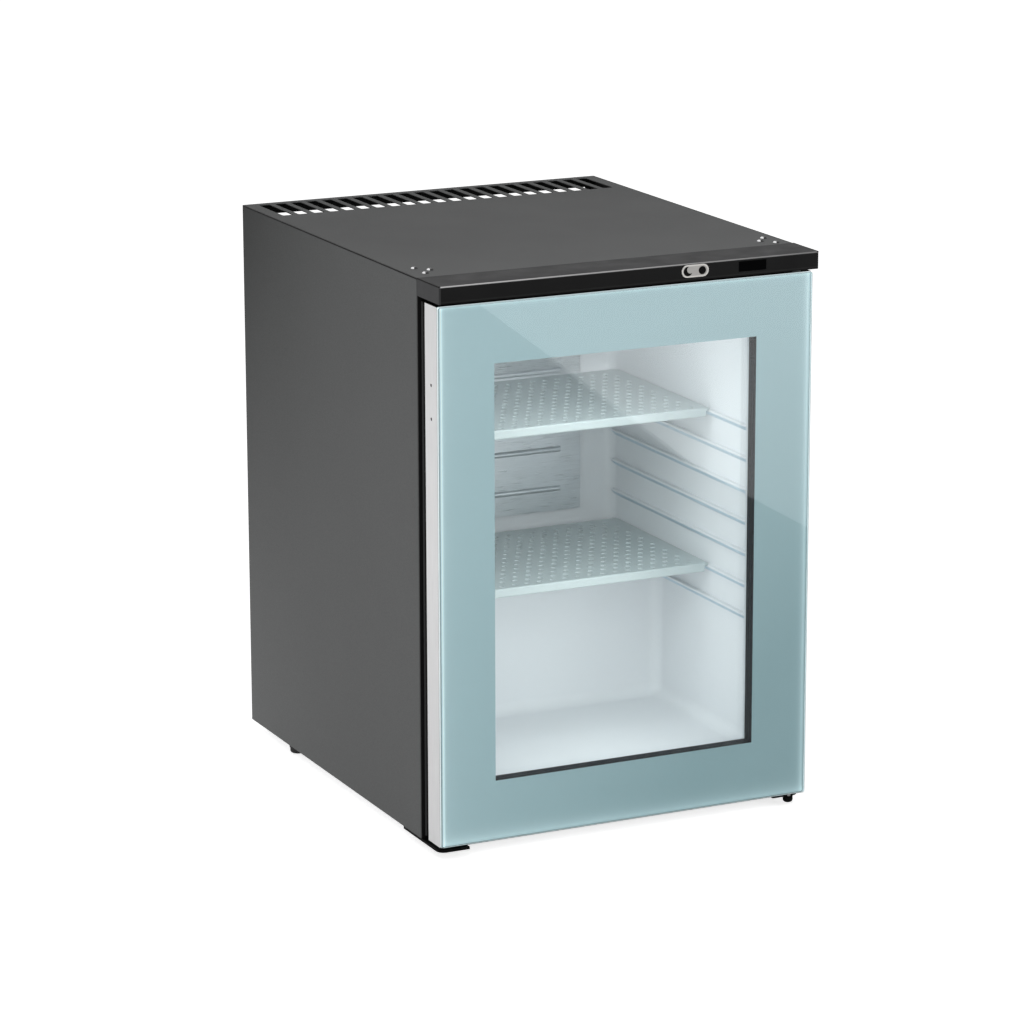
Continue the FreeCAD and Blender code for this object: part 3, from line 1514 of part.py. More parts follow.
def pipes():
    """The lines between the compressor, the condenser, the drier and the cold plate."""
    can_back = compressor_y + s.compressor_radius
    middle = s.compressor_across
    plate_back = cabin_back - s.plate_standoff
    turn = base + s.discharge_turn
    low = base + s.discharge_height
    pipe("discharge_pipe", [
        (middle, can_back, low), (middle, circuit_y, low), (s.discharge_across, circuit_y, low),
        (s.discharge_across, circuit_y, turn), (s.discharge_across, condenser_y, turn),
        (s.discharge_across, condenser_y, condenser_bottom - s.pipe_join)], s.pipe_radius, s.pipe_bend)
    across = -s.drier_across
    turn = base + s.liquid_turn
    pipe("liquid_pipe", [
        (-s.condenser_width / 2 + s.condenser_pitch / 2, condenser_y, condenser_top),
        (across, condenser_y, condenser_top), (across, condenser_y, turn), (across, circuit_y, turn),
        (across, circuit_y, drier_top + s.drier_neck_length)], s.pipe_radius, s.pipe_bend)
    across = s.suction_across
    low, turn = base + s.suction_height, base + s.suction_turn
    entry = base + s.wall_pipe_height
    pipe("suction_pipe", [
        (middle, can_back, low), (middle, circuit_y, low), (across, circuit_y, low),
        (across, circuit_y, turn), (across, wall_y, turn), (across, wall_y, entry),
        (across, plate_back, entry)],
        s.pipe_radius, s.wall_pipe_bend)
    across = s.capillary_across
    turn = base + s.capillary_turn
    pipe("capillary_tube", [
        (-s.drier_across, circuit_y, drier_bottom - s.drier_neck_length),
        (-s.drier_across, circuit_y, turn), (-s.drier_across, wall_y, turn), (across, wall_y, turn),
        (across, wall_y, entry), (across, plate_back, entry)], s.capillary_radius, s.wall_pipe_bend)


side_panel("left_side_panel", -1)
side_panel("right_side_panel", 1)
top_panel()
base_pan()
top_rail()
rear_bulkhead()
back_screws()
inner_liner()
foam_insulation()
corner_plate("left_top_plate", -1, front + s.left_plate_setback, RIVETS["left"])
corner_plate("top_hinge_plate", 1, front + s.hinge_plate_setback, RIVETS["right"])
top_rivets()
control_fascia()
badge_plate()
display_window()
control_board()
display_module()
button_switch()
night_button()
glass_door()
door_frame()
door_inner_frame()
gasket()
hinge_blocks()
hinge_pins()
lower_brackets()
lower_hinge_nut()
feet()
shelf("upper_shelf", s.upper_shelf_rib)
shelf("lower_shelf", s.lower_shelf_rib)
evaporator()
interior_lamp()
temperature_probe()
drain_tube()
compressor_plate()
compressor()
compressor_mounts()
relay_box()
evaporating_tray()
electronics()
condenser()
drier()
pipes()

doc.recompute()
for item in doc.Objects:
    if any(word in ("Invalid", "Error") for word in item.State):
        raise RuntimeError("%s is not valid" % item.Label)
os.makedirs("parts", exist_ok=True)
for piece in pieces:
    if piece.Shape.isNull() or not piece.Shape.isValid():
        raise RuntimeError("%s has no valid shape" % piece.Label)
    piece.Shape.exportStep("parts/%s.step" % piece.Label)
    print(piece.Label, len(piece.Shape.Solids), round(piece.Shape.Volume))
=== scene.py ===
# %% [markdown]
# # A small glass-door fridge, dressed for a catalogue picture
# The solids come from the CAD model. They have the right size and place already, so this notebook
# gives them their finishes, adds the fine parts that a solid model leaves out, and sets up the
# camera and the light of a plain product photograph. The first cell loads the model as a fixed
# frame and keeps its box, because the dressed fridge may not outgrow it.

# %% Load the frame
import json
import math
import bmesh
import bpy
from mathutils import Matrix, Vector


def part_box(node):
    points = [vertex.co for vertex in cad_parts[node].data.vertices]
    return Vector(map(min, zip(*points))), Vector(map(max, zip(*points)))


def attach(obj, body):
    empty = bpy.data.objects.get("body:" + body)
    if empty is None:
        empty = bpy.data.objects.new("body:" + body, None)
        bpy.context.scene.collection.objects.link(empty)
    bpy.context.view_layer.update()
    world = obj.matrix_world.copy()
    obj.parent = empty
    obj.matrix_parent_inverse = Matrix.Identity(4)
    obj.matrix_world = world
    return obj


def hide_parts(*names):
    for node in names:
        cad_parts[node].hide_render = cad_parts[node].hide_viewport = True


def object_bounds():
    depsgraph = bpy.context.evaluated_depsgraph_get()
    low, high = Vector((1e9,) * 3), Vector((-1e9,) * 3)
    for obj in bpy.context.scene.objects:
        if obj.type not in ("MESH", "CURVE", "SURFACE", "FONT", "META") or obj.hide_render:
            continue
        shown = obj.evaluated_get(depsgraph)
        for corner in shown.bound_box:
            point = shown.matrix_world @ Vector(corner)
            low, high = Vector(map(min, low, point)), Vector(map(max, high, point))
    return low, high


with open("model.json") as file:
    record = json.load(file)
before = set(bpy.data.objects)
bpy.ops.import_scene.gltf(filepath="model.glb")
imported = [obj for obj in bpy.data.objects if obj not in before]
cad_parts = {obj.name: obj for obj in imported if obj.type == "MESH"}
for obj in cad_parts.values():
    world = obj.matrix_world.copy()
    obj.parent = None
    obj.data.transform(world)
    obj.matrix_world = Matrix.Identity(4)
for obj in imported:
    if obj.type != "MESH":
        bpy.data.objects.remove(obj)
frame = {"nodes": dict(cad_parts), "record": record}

MM = 0.001
MATT_BLACK = (0.004, 0.004, 0.004)
nodes = frame["nodes"]
cad_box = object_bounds()
print(len(nodes), "solids in", [round(side, 4) for side in cad_box[1] - cad_box[0]], "m")

# %% [markdown]
# ## The camera
# A product photographer stands well back with a long lens, so that the cabinet's sides stay nearly
# parallel. A camera could be turned by eye until the picture looks right, but a box shows every
# error at its corners. The place and the two angles here were worked out from the corners of the
# cabinet and the door, and the matrix is built from them, so nothing has to be turned by hand.

# %% Stand the camera where the photographer stood
YAW, PITCH, ROLL = 0.4451, 0.2502, -0.0024
ahead = Vector((math.sin(YAW) * math.cos(PITCH), math.cos(YAW) * math.cos(PITCH), -math.sin(PITCH)))
level = Vector((math.cos(YAW), -math.sin(YAW), 0))
upright = level.cross(ahead)
right = level * math.cos(ROLL) + upright * math.sin(ROLL)
up = upright * math.cos(ROLL) - level * math.sin(ROLL)
lens = bpy.data.cameras.new("long_lens")
lens.lens, lens.sensor_width = 145.5, 36
camera = bpy.data.objects.new("camera", lens)
camera.matrix_world = Matrix((right, up, -ahead)).transposed().to_4x4()
camera.location = (-1.75367, -3.65213, 1.30587)
bpy.context.scene.collection.objects.link(camera)
bpy.context.scene.camera = camera
print("camera is", round(camera.location.length, 2), "m from the fridge")

# %% [markdown]
# ## Nodes for a finish
# Every finish below starts from one Principled shader, and is read in the object's own coordinates,
# in metres, so that a grain of one millimetre is one millimetre on every piece. These few helpers
# add a node, join two sockets, and give the three things that real surfaces have: colour that
# varies a little, gloss that varies a little, and fine relief.

# %% Helpers that build a finish
finishes = {}


def add_node(finish, kind, settings=(), **choices):
    node = finish.node_tree.nodes.new("ShaderNode" + kind)
    for name, value in choices.items():
        setattr(node, name, value)
    for name, value in dict(settings).items():
        node.inputs[name].default_value = value
    return node


def join(finish, source, target):
    finish.node_tree.links.new(source, target)


def new_finish(slot, colour, roughness, metallic=0.0, **sockets):
    """A material for one of the record's slots, with its shader ready to take textures."""
    finish = bpy.data.materials.new(slot)
    finish.use_nodes = True
    shader = finish.node_tree.nodes["Principled BSDF"]
    shader.inputs["Base Color"].default_value = (*colour, 1)
    shader.inputs["Roughness"].default_value = roughness
    shader.inputs["Metallic"].default_value = metallic
    for name, value in sockets.items():
        shader.inputs[name.replace("_", " ").title().replace("Ior", "IOR")].default_value = value
    finishes[slot] = finish
    return finish, shader


def places(finish, stretch=(1, 1, 1)):
    """The point on the object that is being shaded, in metres, stretched where a grain has a direction."""
    spot = add_node(finish, "TexCoord")
    squeeze = add_node(finish, "Mapping", {"Scale": stretch})
    join(finish, spot.outputs["Object"], squeeze.inputs["Vector"])
    return squeeze.outputs["Vector"]


def noise(finish, size, detail=3.0, stretch=(1, 1, 1)):
    """Noise whose lumps are about size metres across."""
    made = add_node(finish, "TexNoise", {"Scale": 1 / size, "Detail": detail, "Roughness": 0.55})
    join(finish, places(finish, stretch), made.inputs["Vector"])
    return made.outputs["Fac"]


def spread(finish, source, low, high, start=0.3, end=0.7):
    """Turns a pattern's range into the range that a socket needs."""
    made = add_node(finish, "MapRange", {"From Min": start, "From Max": end, "To Min": low, "To Max": high})
    join(finish, source, made.inputs["Value"])
    return made.outputs["Result"]


def tint(finish, shader, share):
    """Multiplies the base colour by a share that differs from place to place."""
    mix = add_node(finish, "Mix", data_type="RGBA", blend_type="MULTIPLY")
    mix.inputs["Factor"].default_value = 1
    held = shader.inputs["Base Color"]
    if held.is_linked:
        join(finish, held.links[0].from_socket, mix.inputs["A"])
    else:
        mix.inputs["A"].default_value = held.default_value
    join(finish, share, mix.inputs["B"])
    join(finish, mix.outputs["Result"], held)


def vary_colour(finish, shader, source, dark, light):
    """Multiplies the base colour by a share that goes from dark to light with the pattern."""
    tint(finish, shader, spread(finish, source, dark, light))


def vary_gloss(finish, shader, source, low, high):
    join(finish, spread(finish, source, low, high), shader.inputs["Roughness"])


def relief(finish, shader, source, depth, strength=1.0):
    """Bumps of a real depth in metres, on top of any that the shader has."""
    bump = add_node(finish, "Bump", {"Strength": strength, "Distance": depth})
    join(finish, source, bump.inputs["Height"])
    held = shader.inputs["Normal"]
    if held.is_linked:
        join(finish, held.links[0].from_socket, bump.inputs["Normal"])
    join(finish, bump.outputs["Normal"], held)


def maths(finish, operation, a, b=None):
    node = add_node(finish, "Math", operation=operation)
    for socket, value in zip(node.inputs, (a, b)):
        if isinstance(value, (int, float)):
            socket.default_value = value
        elif value is not None:
            join(finish, value, socket)
    return node.outputs["Value"]


def along(finish, axis, distance=False):
    """How far the shaded point is along one axis of the object, or how far from its middle."""
    split = add_node(finish, "SeparateXYZ")
    join(finish, places(finish), split.inputs["Vector"])
    return maths(finish, "ABSOLUTE", split.outputs[axis]) if distance else split.outputs[axis]


def paint_over(finish, shader, mask, colour):
    """Changes the base colour to another one where the mask is one."""
    mix = add_node(finish, "Mix", {"B": (*colour, 1)}, data_type="RGBA")
    held = shader.inputs["Base Color"]
    if held.is_linked:
        join(finish, held.links[0].from_socket, mix.inputs["A"])
    else:
        mix.inputs["A"].default_value = held.default_value
    join(finish, mask, mix.inputs["Factor"])
    join(finish, mix.outputs["Result"], held)


print("helpers ready")

# %% [markdown]
# ## Powder coat on the shell
# The side panels and the top are folded steel, sprayed with a dark grey powder that melts in the
# oven. It never flows out quite flat, so it has a fine orange peel about a millimetre across, and
# small darker and lighter specks. One noise gives the peel and the specks; a much larger one
# varies the gloss, which is what a hand leaves on such a panel. The inner faces of the sheets and
# the front flange behind the door are painted black as shade, so the coat is masked by how far out,
# how high and how far back a point lies, and painted shade darkens the sides' rounded front edges.
# The sides carry painted light: paler low down than near the top, most of all towards the back.
# The top carries painted light too: a little paler towards its front and towards its right.

# %% Shell coat and bracket coat
def powder_coat(slot, colour, roughness, specular):
    finish, shader = new_finish(slot, colour, roughness, specular_ior_level=specular)
    peel = noise(finish, 0.0011, 2)
    vary_colour(finish, shader, peel, 0.90, 1.10)
    vary_gloss(finish, shader, noise(finish, 0.09, 2), roughness - 0.02, roughness + 0.02)
    relief(finish, shader, peel, 0.00007, 0.8)
    return finish, shader


def step(finish, value, start, end):
    """Zero up to start, one from end on."""
    return spread(finish, value, 0, 1, start, end)


panel_low, panel_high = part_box("right_side_panel")
side_x, under_top, front_y, rear_y = panel_high.x, panel_high.z, panel_low.y, cad_box[1].y
coat, shader = powder_coat("shell_coat", (0.092, 0.094, 0.094), 0.66, 0.12)
far_out = step(coat, along(coat, "X", distance=True), side_x - 0.6 * MM, side_x - 0.4 * MM)
# Painted light: the sides turn paler low down, most of all towards the back.
back_share = spread(coat, along(coat, "Y"), 0, 1, front_y, rear_y)
height_share = spread(coat, along(coat, "Z"), 0.42, -0.73, 0, under_top)
painted_side_light = maths(coat, "MULTIPLY", maths(coat, "MULTIPLY", back_share, back_share), height_share)
low_share = spread(coat, along(coat, "Z"), 0.38, 0.18, 0, under_top)
painted_side_light = maths(coat, "MULTIPLY", maths(coat, "ADD", painted_side_light, low_share), far_out)
tint(coat, shader, maths(coat, "ADD", painted_side_light, 1.0))
# Painted light: the top turns paler towards its front and towards its right.
high_up = step(coat, along(coat, "Z"), under_top + 0.3 * MM, under_top + 0.7 * MM)
front_share = maths(coat, "SUBTRACT", 1.0, back_share)
painted_top_light = maths(coat, "ADD", maths(coat, "MULTIPLY", maths(coat, "MULTIPLY", front_share, front_share), 0.33),
              spread(coat, along(coat, "X"), 0.0, 0.10, -side_x, side_x))
tint(coat, shader, maths(coat, "ADD", maths(coat, "MULTIPLY", high_up, painted_top_light), 1.0))
# Painted shade: inside the sheets and on the front flange the coat turns black.
far_back = step(coat, along(coat, "Y"), rear_y - 0.6 * MM, rear_y - 0.4 * MM)
outside = maths(coat, "MAXIMUM", far_out, maths(coat, "MAXIMUM", high_up, far_back))
paint_over(coat, shader, maths(coat, "SUBTRACT", 1.0, outside), MATT_BLACK)
# Painted shade: the sides darken over their rounded front edges next to the door.
near_door = step(coat, along(coat, "Y"), front_y + 2.5 * MM, front_y)
painted_front_edge_shade = maths(coat, "MULTIPLY", near_door, maths(coat, "SUBTRACT", 1.0, high_up))
paint_over(coat, shader, maths(coat, "MULTIPLY", painted_front_edge_shade, 0.6), MATT_BLACK)
powder_coat("bracket_coat", (0.0025, 0.0025, 0.0025), 0.50, 0.06)
print("powder coats:", [name for name in finishes])

# %% [markdown]
# ## Galvanised sheet
# The base pan, the rear bulkhead and the compressor plate are plain zinc-coated steel. As the zinc
# sets it grows in flat crystals, the spangle, and each one reflects a little differently. A Voronoi
# texture is made of just such cells, so its random cell colour drives both the tone and the gloss.

# %% Zinc sheet
def zinc(slot, colour, cell):
    finish, shader = new_finish(slot, colour, 0.42, 0.85)
    crystals = add_node(finish, "TexVoronoi", {"Scale": 1 / cell, "Randomness": 1.0})
    join(finish, places(finish), crystals.inputs["Vector"])
    tone = add_node(finish, "RGBToBW")
    join(finish, crystals.outputs["Color"], tone.inputs["Color"])
    vary_colour(finish, shader, tone.outputs["Val"], 0.92, 1.04)
    vary_gloss(finish, shader, tone.outputs["Val"], 0.40, 0.50)
    relief(finish, shader, noise(finish, 0.0016, 2), 0.00003, 0.6)
    return finish


zinc("zinc_sheet", (0.50, 0.51, 0.52), 0.007)
print("zinc crystals are 7 mm across")

# %% [markdown]
# ## Moulded plastics
# The fascia, the relay box and the drain parts are injection moulded. The mould is spark-eroded,
# which prints a fine even texture on the plastic. All these finishes are the same build with
# another colour, gloss and depth of texture, so one function makes them.

# %% Fascia, black and grey plastic, rubber
def moulded(slot, colour, roughness, grain, depth, **sockets):
    finish, shader = new_finish(slot, colour, roughness, **sockets)
    texture = noise(finish, grain, 2)
    vary_colour(finish, shader, texture, 0.93, 1.07)
    vary_gloss(finish, shader, noise(finish, grain * 40, 3), roughness - 0.05, roughness + 0.06)
    relief(finish, shader, texture, depth, 0.7)
    return finish, shader


moulded("fascia", (0.030, 0.030, 0.031), 0.58, 0.0007, 0.00003, specular_ior_level=0.10)
moulded("black_plastic", (0.022, 0.022, 0.023), 0.45, 0.0009, 0.00004)
moulded("grey_plastic", (0.20, 0.21, 0.215), 0.48, 0.0009, 0.00004)
moulded("rubber", (0.020, 0.020, 0.020), 0.68, 0.0006, 0.00006)
moulded("gasket", (0.033, 0.033, 0.034), 0.60, 0.0006, 0.00005, specular_ior_level=0.06)
moulded("magnet", (0.035, 0.032, 0.030), 0.75, 0.0008, 0.00006)
moulded("button", (0.002, 0.002, 0.002), 0.34, 0.0020, 0.00001, specular_ior_level=0.05)
moulded("display", (0.0006, 0.0006, 0.0008), 0.14, 0.0300, 0.00002, specular_ior_level=0.01)
print("moulded finishes:", len(finishes) - 3)

# %% [markdown]
# ## Front plate and edge of the fascia
# The fascia is one dark grey moulding, but its front is a black plate, and the rounded edge above
# it carries a painted highlight, brighter at the left than at the right. All three lie on one solid,
# so the finish tells them apart by the point's depth and height. The rounded edge is found between
# two heights, and only near the front. A fine black line of painted shadow runs along both ends of
# the top, the foot of the plate has a greyer lip of painted highlight over a black return of painted
# shade, and the end faces are a little paler.

# %% Black front, bright edge
fascia_low, fascia_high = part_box("control_fascia")
fascia = finishes["fascia"]
shader = fascia.node_tree.nodes["Principled BSDF"]
height, depth, from_middle = along(fascia, "Z"), along(fascia, "Y"), along(fascia, "X", distance=True)
front_face = step(fascia, depth, fascia_low.y + 0.14 * MM, fascia_low.y + 0.04 * MM)
paint_over(fascia, shader, front_face, (0.0046, 0.0046, 0.0047))
# Painted highlight and painted shade at the foot of the front plate: a greyer band over a black one.
for top, colour in ((2.8, 0.011), (1.4, 0.0004)):
    painted_foot_light_and_shade = step(fascia, height, fascia_low.z + top * MM, fascia_low.z + (top - 0.4) * MM)
    paint_over(fascia, shader, maths(fascia, "MULTIPLY", painted_foot_light_and_shade, front_face), (colour, colour, colour))
# Painted highlight along the rounded front edge of the top, fading from left to right.
above = step(fascia, height, fascia_high.z - 1.25 * MM, fascia_high.z - 0.80 * MM)
below = step(fascia, height, fascia_high.z - 0.02 * MM, fascia_high.z - 0.20 * MM)
ahead_of = step(fascia, depth, fascia_low.y + 2.0 * MM, fascia_low.y + 1.7 * MM)
between_ends = step(fascia, from_middle, fascia_high.x - 0.5 * MM, fascia_high.x - 1.5 * MM)
painted_edge_highlight = maths(fascia, "MULTIPLY", maths(fascia, "MULTIPLY", above, below),
               maths(fascia, "MULTIPLY", ahead_of, between_ends))
highlight_fade = spread(fascia, along(fascia, "X"), 0.9, 0.35, -0.15, 0.2)
paint_over(fascia, shader, maths(fascia, "MULTIPLY", painted_edge_highlight, highlight_fade), (0.66, 0.66, 0.66))
# Painted shadow: a fine black line along both ends of the top.
painted_joint_shadow = maths(fascia, "MULTIPLY", step(fascia, height, fascia_high.z - 0.9 * MM, fascia_high.z - 0.6 * MM),
                 step(fascia, from_middle, fascia_high.x - 1.9 * MM, fascia_high.x - 1.6 * MM))
paint_over(fascia, shader, painted_joint_shadow, (0.001, 0.001, 0.001))
end_face = step(fascia, from_middle, fascia_high.x - 0.4 * MM, fascia_high.x - 0.2 * MM)
tint(fascia, shader, maths(fascia, "ADD", maths(fascia, "MULTIPLY", end_face, 0.80), 1.0))
print("fascia edge from", round(fascia_high.z - 1.25 * MM, 5), "to", round(fascia_high.z, 5), "m")

# %% [markdown]
# ## Spacer bar between the panes
# The bar that keeps the two panes apart is dark plastic with fine ribs along it and a paler seal
# where it meets the panes. Waves across its depth give the ribs. The depth is the object's Y here
# on all four sides of the window, so one wave along Y serves them all.

# %% Spacer
spacer_low, spacer_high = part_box("glazing_spacer")
spacer, shader = moulded("spacer", (0.0024, 0.0042, 0.0058), 0.50, 0.0008, 0.00002, specular_ior_level=0.06)
ribs = add_node(spacer, "TexWave", {"Scale": 65, "Distortion": 0.0}, bands_direction="Y")
join(spacer, places(spacer), ribs.inputs["Vector"])
vary_colour(spacer, shader, ribs.outputs["Fac"], 0.1, 5.0)
relief(spacer, shader, ribs.outputs["Fac"], 0.0002, 0.6)
seal = step(spacer, along(spacer, "Y"), spacer_high.y - 0.7 * MM, spacer_high.y - 0.4 * MM)
paint_over(spacer, shader, seal, (0.20, 0.22, 0.23))
print("spacer is", round((spacer_high.y - spacer_low.y) / MM, 1), "mm deep")

# %% [markdown]
# ## White cabin moulding
# The liner is vacuum formed from a white sheet. It is smooth with a satin gloss, with long soft waves
# where the hot sheet was drawn over the mould. A little light also goes into such a white plastic
# before it comes out again, but over a whole cabin that only costs time, so a bright base colour
# with low waves does the same work. The downward faces of the side ribs carry a blue-grey painted shade.

# %% Liner and shelf coat
liner_coat, shader = new_finish("white_moulding", (0.80, 0.815, 0.840), 0.40, specular_ior_level=0.25)
vary_colour(liner_coat, shader, noise(liner_coat, 0.22, 2), 0.975, 1.02)
facing = add_node(liner_coat, "SeparateXYZ")
join(liner_coat, add_node(liner_coat, "NewGeometry").outputs["True Normal"], facing.inputs["Vector"])
CABIN_X = 165 * MM  # the cabin's side walls, from the middle
# Painted shade: the downward faces of the side ribs turn blue-grey.
on_ribs = step(liner_coat, along(liner_coat, "X", distance=True), CABIN_X - 5.6 * MM, CABIN_X - 5.3 * MM)
painted_rib_shade = maths(liner_coat, "MULTIPLY", step(liner_coat, facing.outputs["Z"], -0.15, -0.35), on_ribs)
paint_over(liner_coat, shader, painted_rib_shade, (0.50, 0.62, 0.71))
vary_gloss(liner_coat, shader, noise(liner_coat, 0.05, 2), 0.38, 0.46)
relief(liner_coat, shader, noise(liner_coat, 0.030, 1), 0.00016, 0.4)
shelf_coat, shader = new_finish("shelf_coat", (0.48, 0.545, 0.555), 0.34)
peel = noise(shelf_coat, 0.0016, 2)
vary_colour(shelf_coat, shader, peel, 0.96, 1.03)
vary_gloss(shelf_coat, shader, noise(shelf_coat, 0.02, 3), 0.30, 0.42)
relief(shelf_coat, shader, peel, 0.00005, 0.7)
print("white finishes ready")

# %% [markdown]
# ## Metals with a drawn grain
# The door's frame is a silver profile, the badge a small pressed plate with a polished rim, the screws
# and pins plain steel, the pipes drawn copper. Each has fine lines along the way it was rolled, drawn
# or brushed. Noise squeezed hard in one direction gives such lines without any picture. The profile's
# top, which ends under the fascia, is painted matt black as the shade in that gap, and its screw holes
# are painted black inside as shade.

# %% Frame profile, badge, steels, cold plate and copper
def drawn_metal(slot, colour, roughness, metallic, stretch, depth=0.00002, tone=(0.94, 1.05)):
    finish, shader = new_finish(slot, colour, roughness, metallic)
    lines = noise(finish, 0.0007, 2, stretch)
    vary_colour(finish, shader, lines, *tone)
    vary_gloss(finish, shader, lines, roughness - 0.07, roughness + 0.08)
    relief(finish, shader, lines, depth, 0.6)
    return finish, shader


profile, shader = drawn_metal("door_profile", (0.76, 0.76, 0.765), 0.42, 0.10, (1, 1, 0.02))
frame_low, frame_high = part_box("door_frame")
tint(profile, shader, spread(profile, along(profile, "Z"), 1.08, 1.0, frame_low.z, frame_high.z))
# Painted shade: the profile's top under the fascia turns matt black, with less shine.
painted_top_shade = step(profile, along(profile, "Z"), frame_high.z - 0.5 * MM, frame_high.z - 0.3 * MM)
join(profile, maths(profile, "MULTIPLY", maths(profile, "SUBTRACT", 1.0, painted_top_shade), 0.5),
     shader.inputs["Specular IOR Level"])
# Painted shade: the insides of the screw holes turn black.
from_middle = along(profile, "X", distance=True)
painted_hole_shade = maths(profile, "MULTIPLY",
             step(profile, from_middle, frame_high.x - 0.08 * MM, frame_high.x - 0.16 * MM),
             step(profile, from_middle, frame_high.x - 3.2 * MM, frame_high.x - 3.0 * MM))
painted_hole_shade = maths(profile, "MULTIPLY", painted_hole_shade,
             step(profile, along(profile, "Y"), frame_high.y - 1.5 * MM, frame_high.y - 2.5 * MM))
paint_over(profile, shader, maths(profile, "MAXIMUM", painted_top_shade, painted_hole_shade), MATT_BLACK)
badge, shader = drawn_metal("badge", (0.36, 0.35, 0.335), 0.42, 0.30, (0.05, 1, 1), 0.00001)
badge_low, badge_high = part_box("badge_plate")
badge_mid, radius = (badge_low + badge_high) / 2, (badge_high.z - badge_low.z) / 2
straight = badge_high.x - badge_mid.x - radius
sideways = maths(badge, "ABSOLUTE", maths(badge, "SUBTRACT", along(badge, "X"), badge_mid.x))
sideways = maths(badge, "MAXIMUM", maths(badge, "SUBTRACT", sideways, straight), 0.0)
upwards = maths(badge, "SUBTRACT", along(badge, "Z"), badge_mid.z)
outwards = maths(badge, "SQRT", maths(badge, "ADD", maths(badge, "MULTIPLY", sideways, sideways),
                                      maths(badge, "MULTIPLY", upwards, upwards)))
paint_over(badge, shader, step(badge, outwards, radius - 1.6 * MM, radius - 1.2 * MM), (0.60, 0.585, 0.56))
drawn_metal("steel", (0.58, 0.58, 0.58), 0.32, 1.0, (1, 1, 0.15))
drawn_metal("bright_steel", (0.78, 0.78, 0.79), 0.16, 1.0, (1, 1, 0.2), 0.00001)
drawn_metal("cold_plate", (0.70, 0.72, 0.74), 0.33, 0.9, (0.04, 1, 1))
drawn_metal("copper", (0.66, 0.29, 0.16), 0.28, 1.0, (1, 1, 0.3), 0.00002, (0.80, 1.08))
print("drawn metals ready")

# %% [markdown]
# ## Board, foam, compressor paint and lamp
# The circuit boards are green lacquer over copper tracks, which a fine brick pattern suggests. The
# foam behind the liner is cream with small open cells. The compressor has a black dipped paint
# that sags a little. The lamp cover is a frosted strip with a row of diodes behind it, so it shines.

# %% Board, foam, paint, lamp
board, shader = new_finish("circuit_board", (0.02, 0.13, 0.06), 0.30)
tracks = add_node(board, "TexBrick", {"Scale": 260, "Mortar Size": 0.02, "Color1": (0.02, 0.13, 0.06, 1),
                                      "Color2": (0.025, 0.17, 0.08, 1), "Mortar": (0.05, 0.26, 0.12, 1)})
join(board, places(board), tracks.inputs["Vector"])
join(board, tracks.outputs["Color"], shader.inputs["Base Color"])
relief(board, shader, tracks.outputs["Fac"], 0.00004, 0.5)
foam, shader = new_finish("foam", (0.72, 0.62, 0.38), 0.85)
bubbles = add_node(foam, "TexVoronoi", {"Scale": 900})
join(foam, places(foam), bubbles.inputs["Vector"])
vary_colour(foam, shader, bubbles.outputs["Distance"], 1.06, 0.80)
relief(foam, shader, bubbles.outputs["Distance"], 0.0003, 0.8)
paint, shader = new_finish("compressor_coat", (0.012, 0.012, 0.013), 0.26, coat_weight=0.3)
vary_gloss(paint, shader, noise(paint, 0.012, 3), 0.20, 0.36)
relief(paint, shader, noise(paint, 0.004, 2, (1, 1, 0.3)), 0.00012, 0.6)
lamp, shader = new_finish("lamp_cover", (0.88, 0.90, 0.92), 0.45, emission_strength=2.3)
shader.inputs["Emission Color"].default_value = (0.93, 0.97, 1.0, 1)
ribs = add_node(lamp, "TexWave", {"Scale": 90, "Distortion": 0.0}, bands_direction="X")
join(lamp, places(lamp), ribs.inputs["Vector"])
relief(lamp, shader, ribs.outputs["Fac"], 0.0003, 0.6)
print("inner finishes ready")

# %% [markdown]
# ## Glass and the print behind it
# The door has two panes. Glass that truly bends light leaves what is behind it noisy and dark,
# because lamps can't be traced back through the bend. A flat pane hardly shifts what is seen
# through it, so each face here is clear with a faint green tint, and mirrors a share that grows at
# a slant. Only the face that looks outwards mirrors, because the inner face would count it twice.
# The pale border is a lacquer printed on the back of the front pane. Near all four edges of the door
# it carries painted light: it glows and turns paler there, as light entering at the polished edge would.
# Painted shade makes the lacquer a little deeper towards the lower right. The edge itself is ground
# and polished, which leaves it pale and cloudy, with a thin dark green line where it is broken to a
# bevel. A painted glow lights the ground edge a little all round and most along the top, and the bevel
# along the top; painted shade makes the bevel at the foot the darkest.

# %% Pane glass
pane, shader = new_finish("clear_glass", (0.985, 0.997, 0.995), 0.0)
clear = add_node(pane, "BsdfTransparent", {"Color": (0.972, 0.988, 0.986, 1)})
mirror = add_node(pane, "BsdfGlossy", {"Color": (1, 1, 1, 1), "Roughness": 0.0})
slant = add_node(pane, "Fresnel", {"IOR": 1.48})
side = add_node(pane, "NewGeometry")
outward = maths(pane, "SUBTRACT", 1.0, side.outputs["Backfacing"])
both = add_node(pane, "MixShader")
join(pane, maths(pane, "MULTIPLY", slant.outputs["Fac"], outward), both.inputs["Fac"])
join(pane, clear.outputs["BSDF"], both.inputs[1])
join(pane, mirror.outputs["BSDF"], both.inputs[2])
join(pane, both.outputs["Shader"], pane.node_tree.nodes["Material Output"].inputs["Surface"])
print("glass ready")

# %% Border print
door_low, door_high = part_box("door_front_glass")
lacquer, shader = new_finish("glass_print", (0.462, 0.632, 0.680), 0.35, specular_ior_level=0.3)


def glow(finish, axis, edge, reach, share):
    """A share of extra light at the edge, falling away over reach metres."""
    away = maths(finish, "ABSOLUTE", maths(finish, "SUBTRACT", along(finish, axis), edge))
    return maths(finish, "MULTIPLY", maths(finish, "EXPONENT", maths(finish, "DIVIDE", away, -reach)), share)


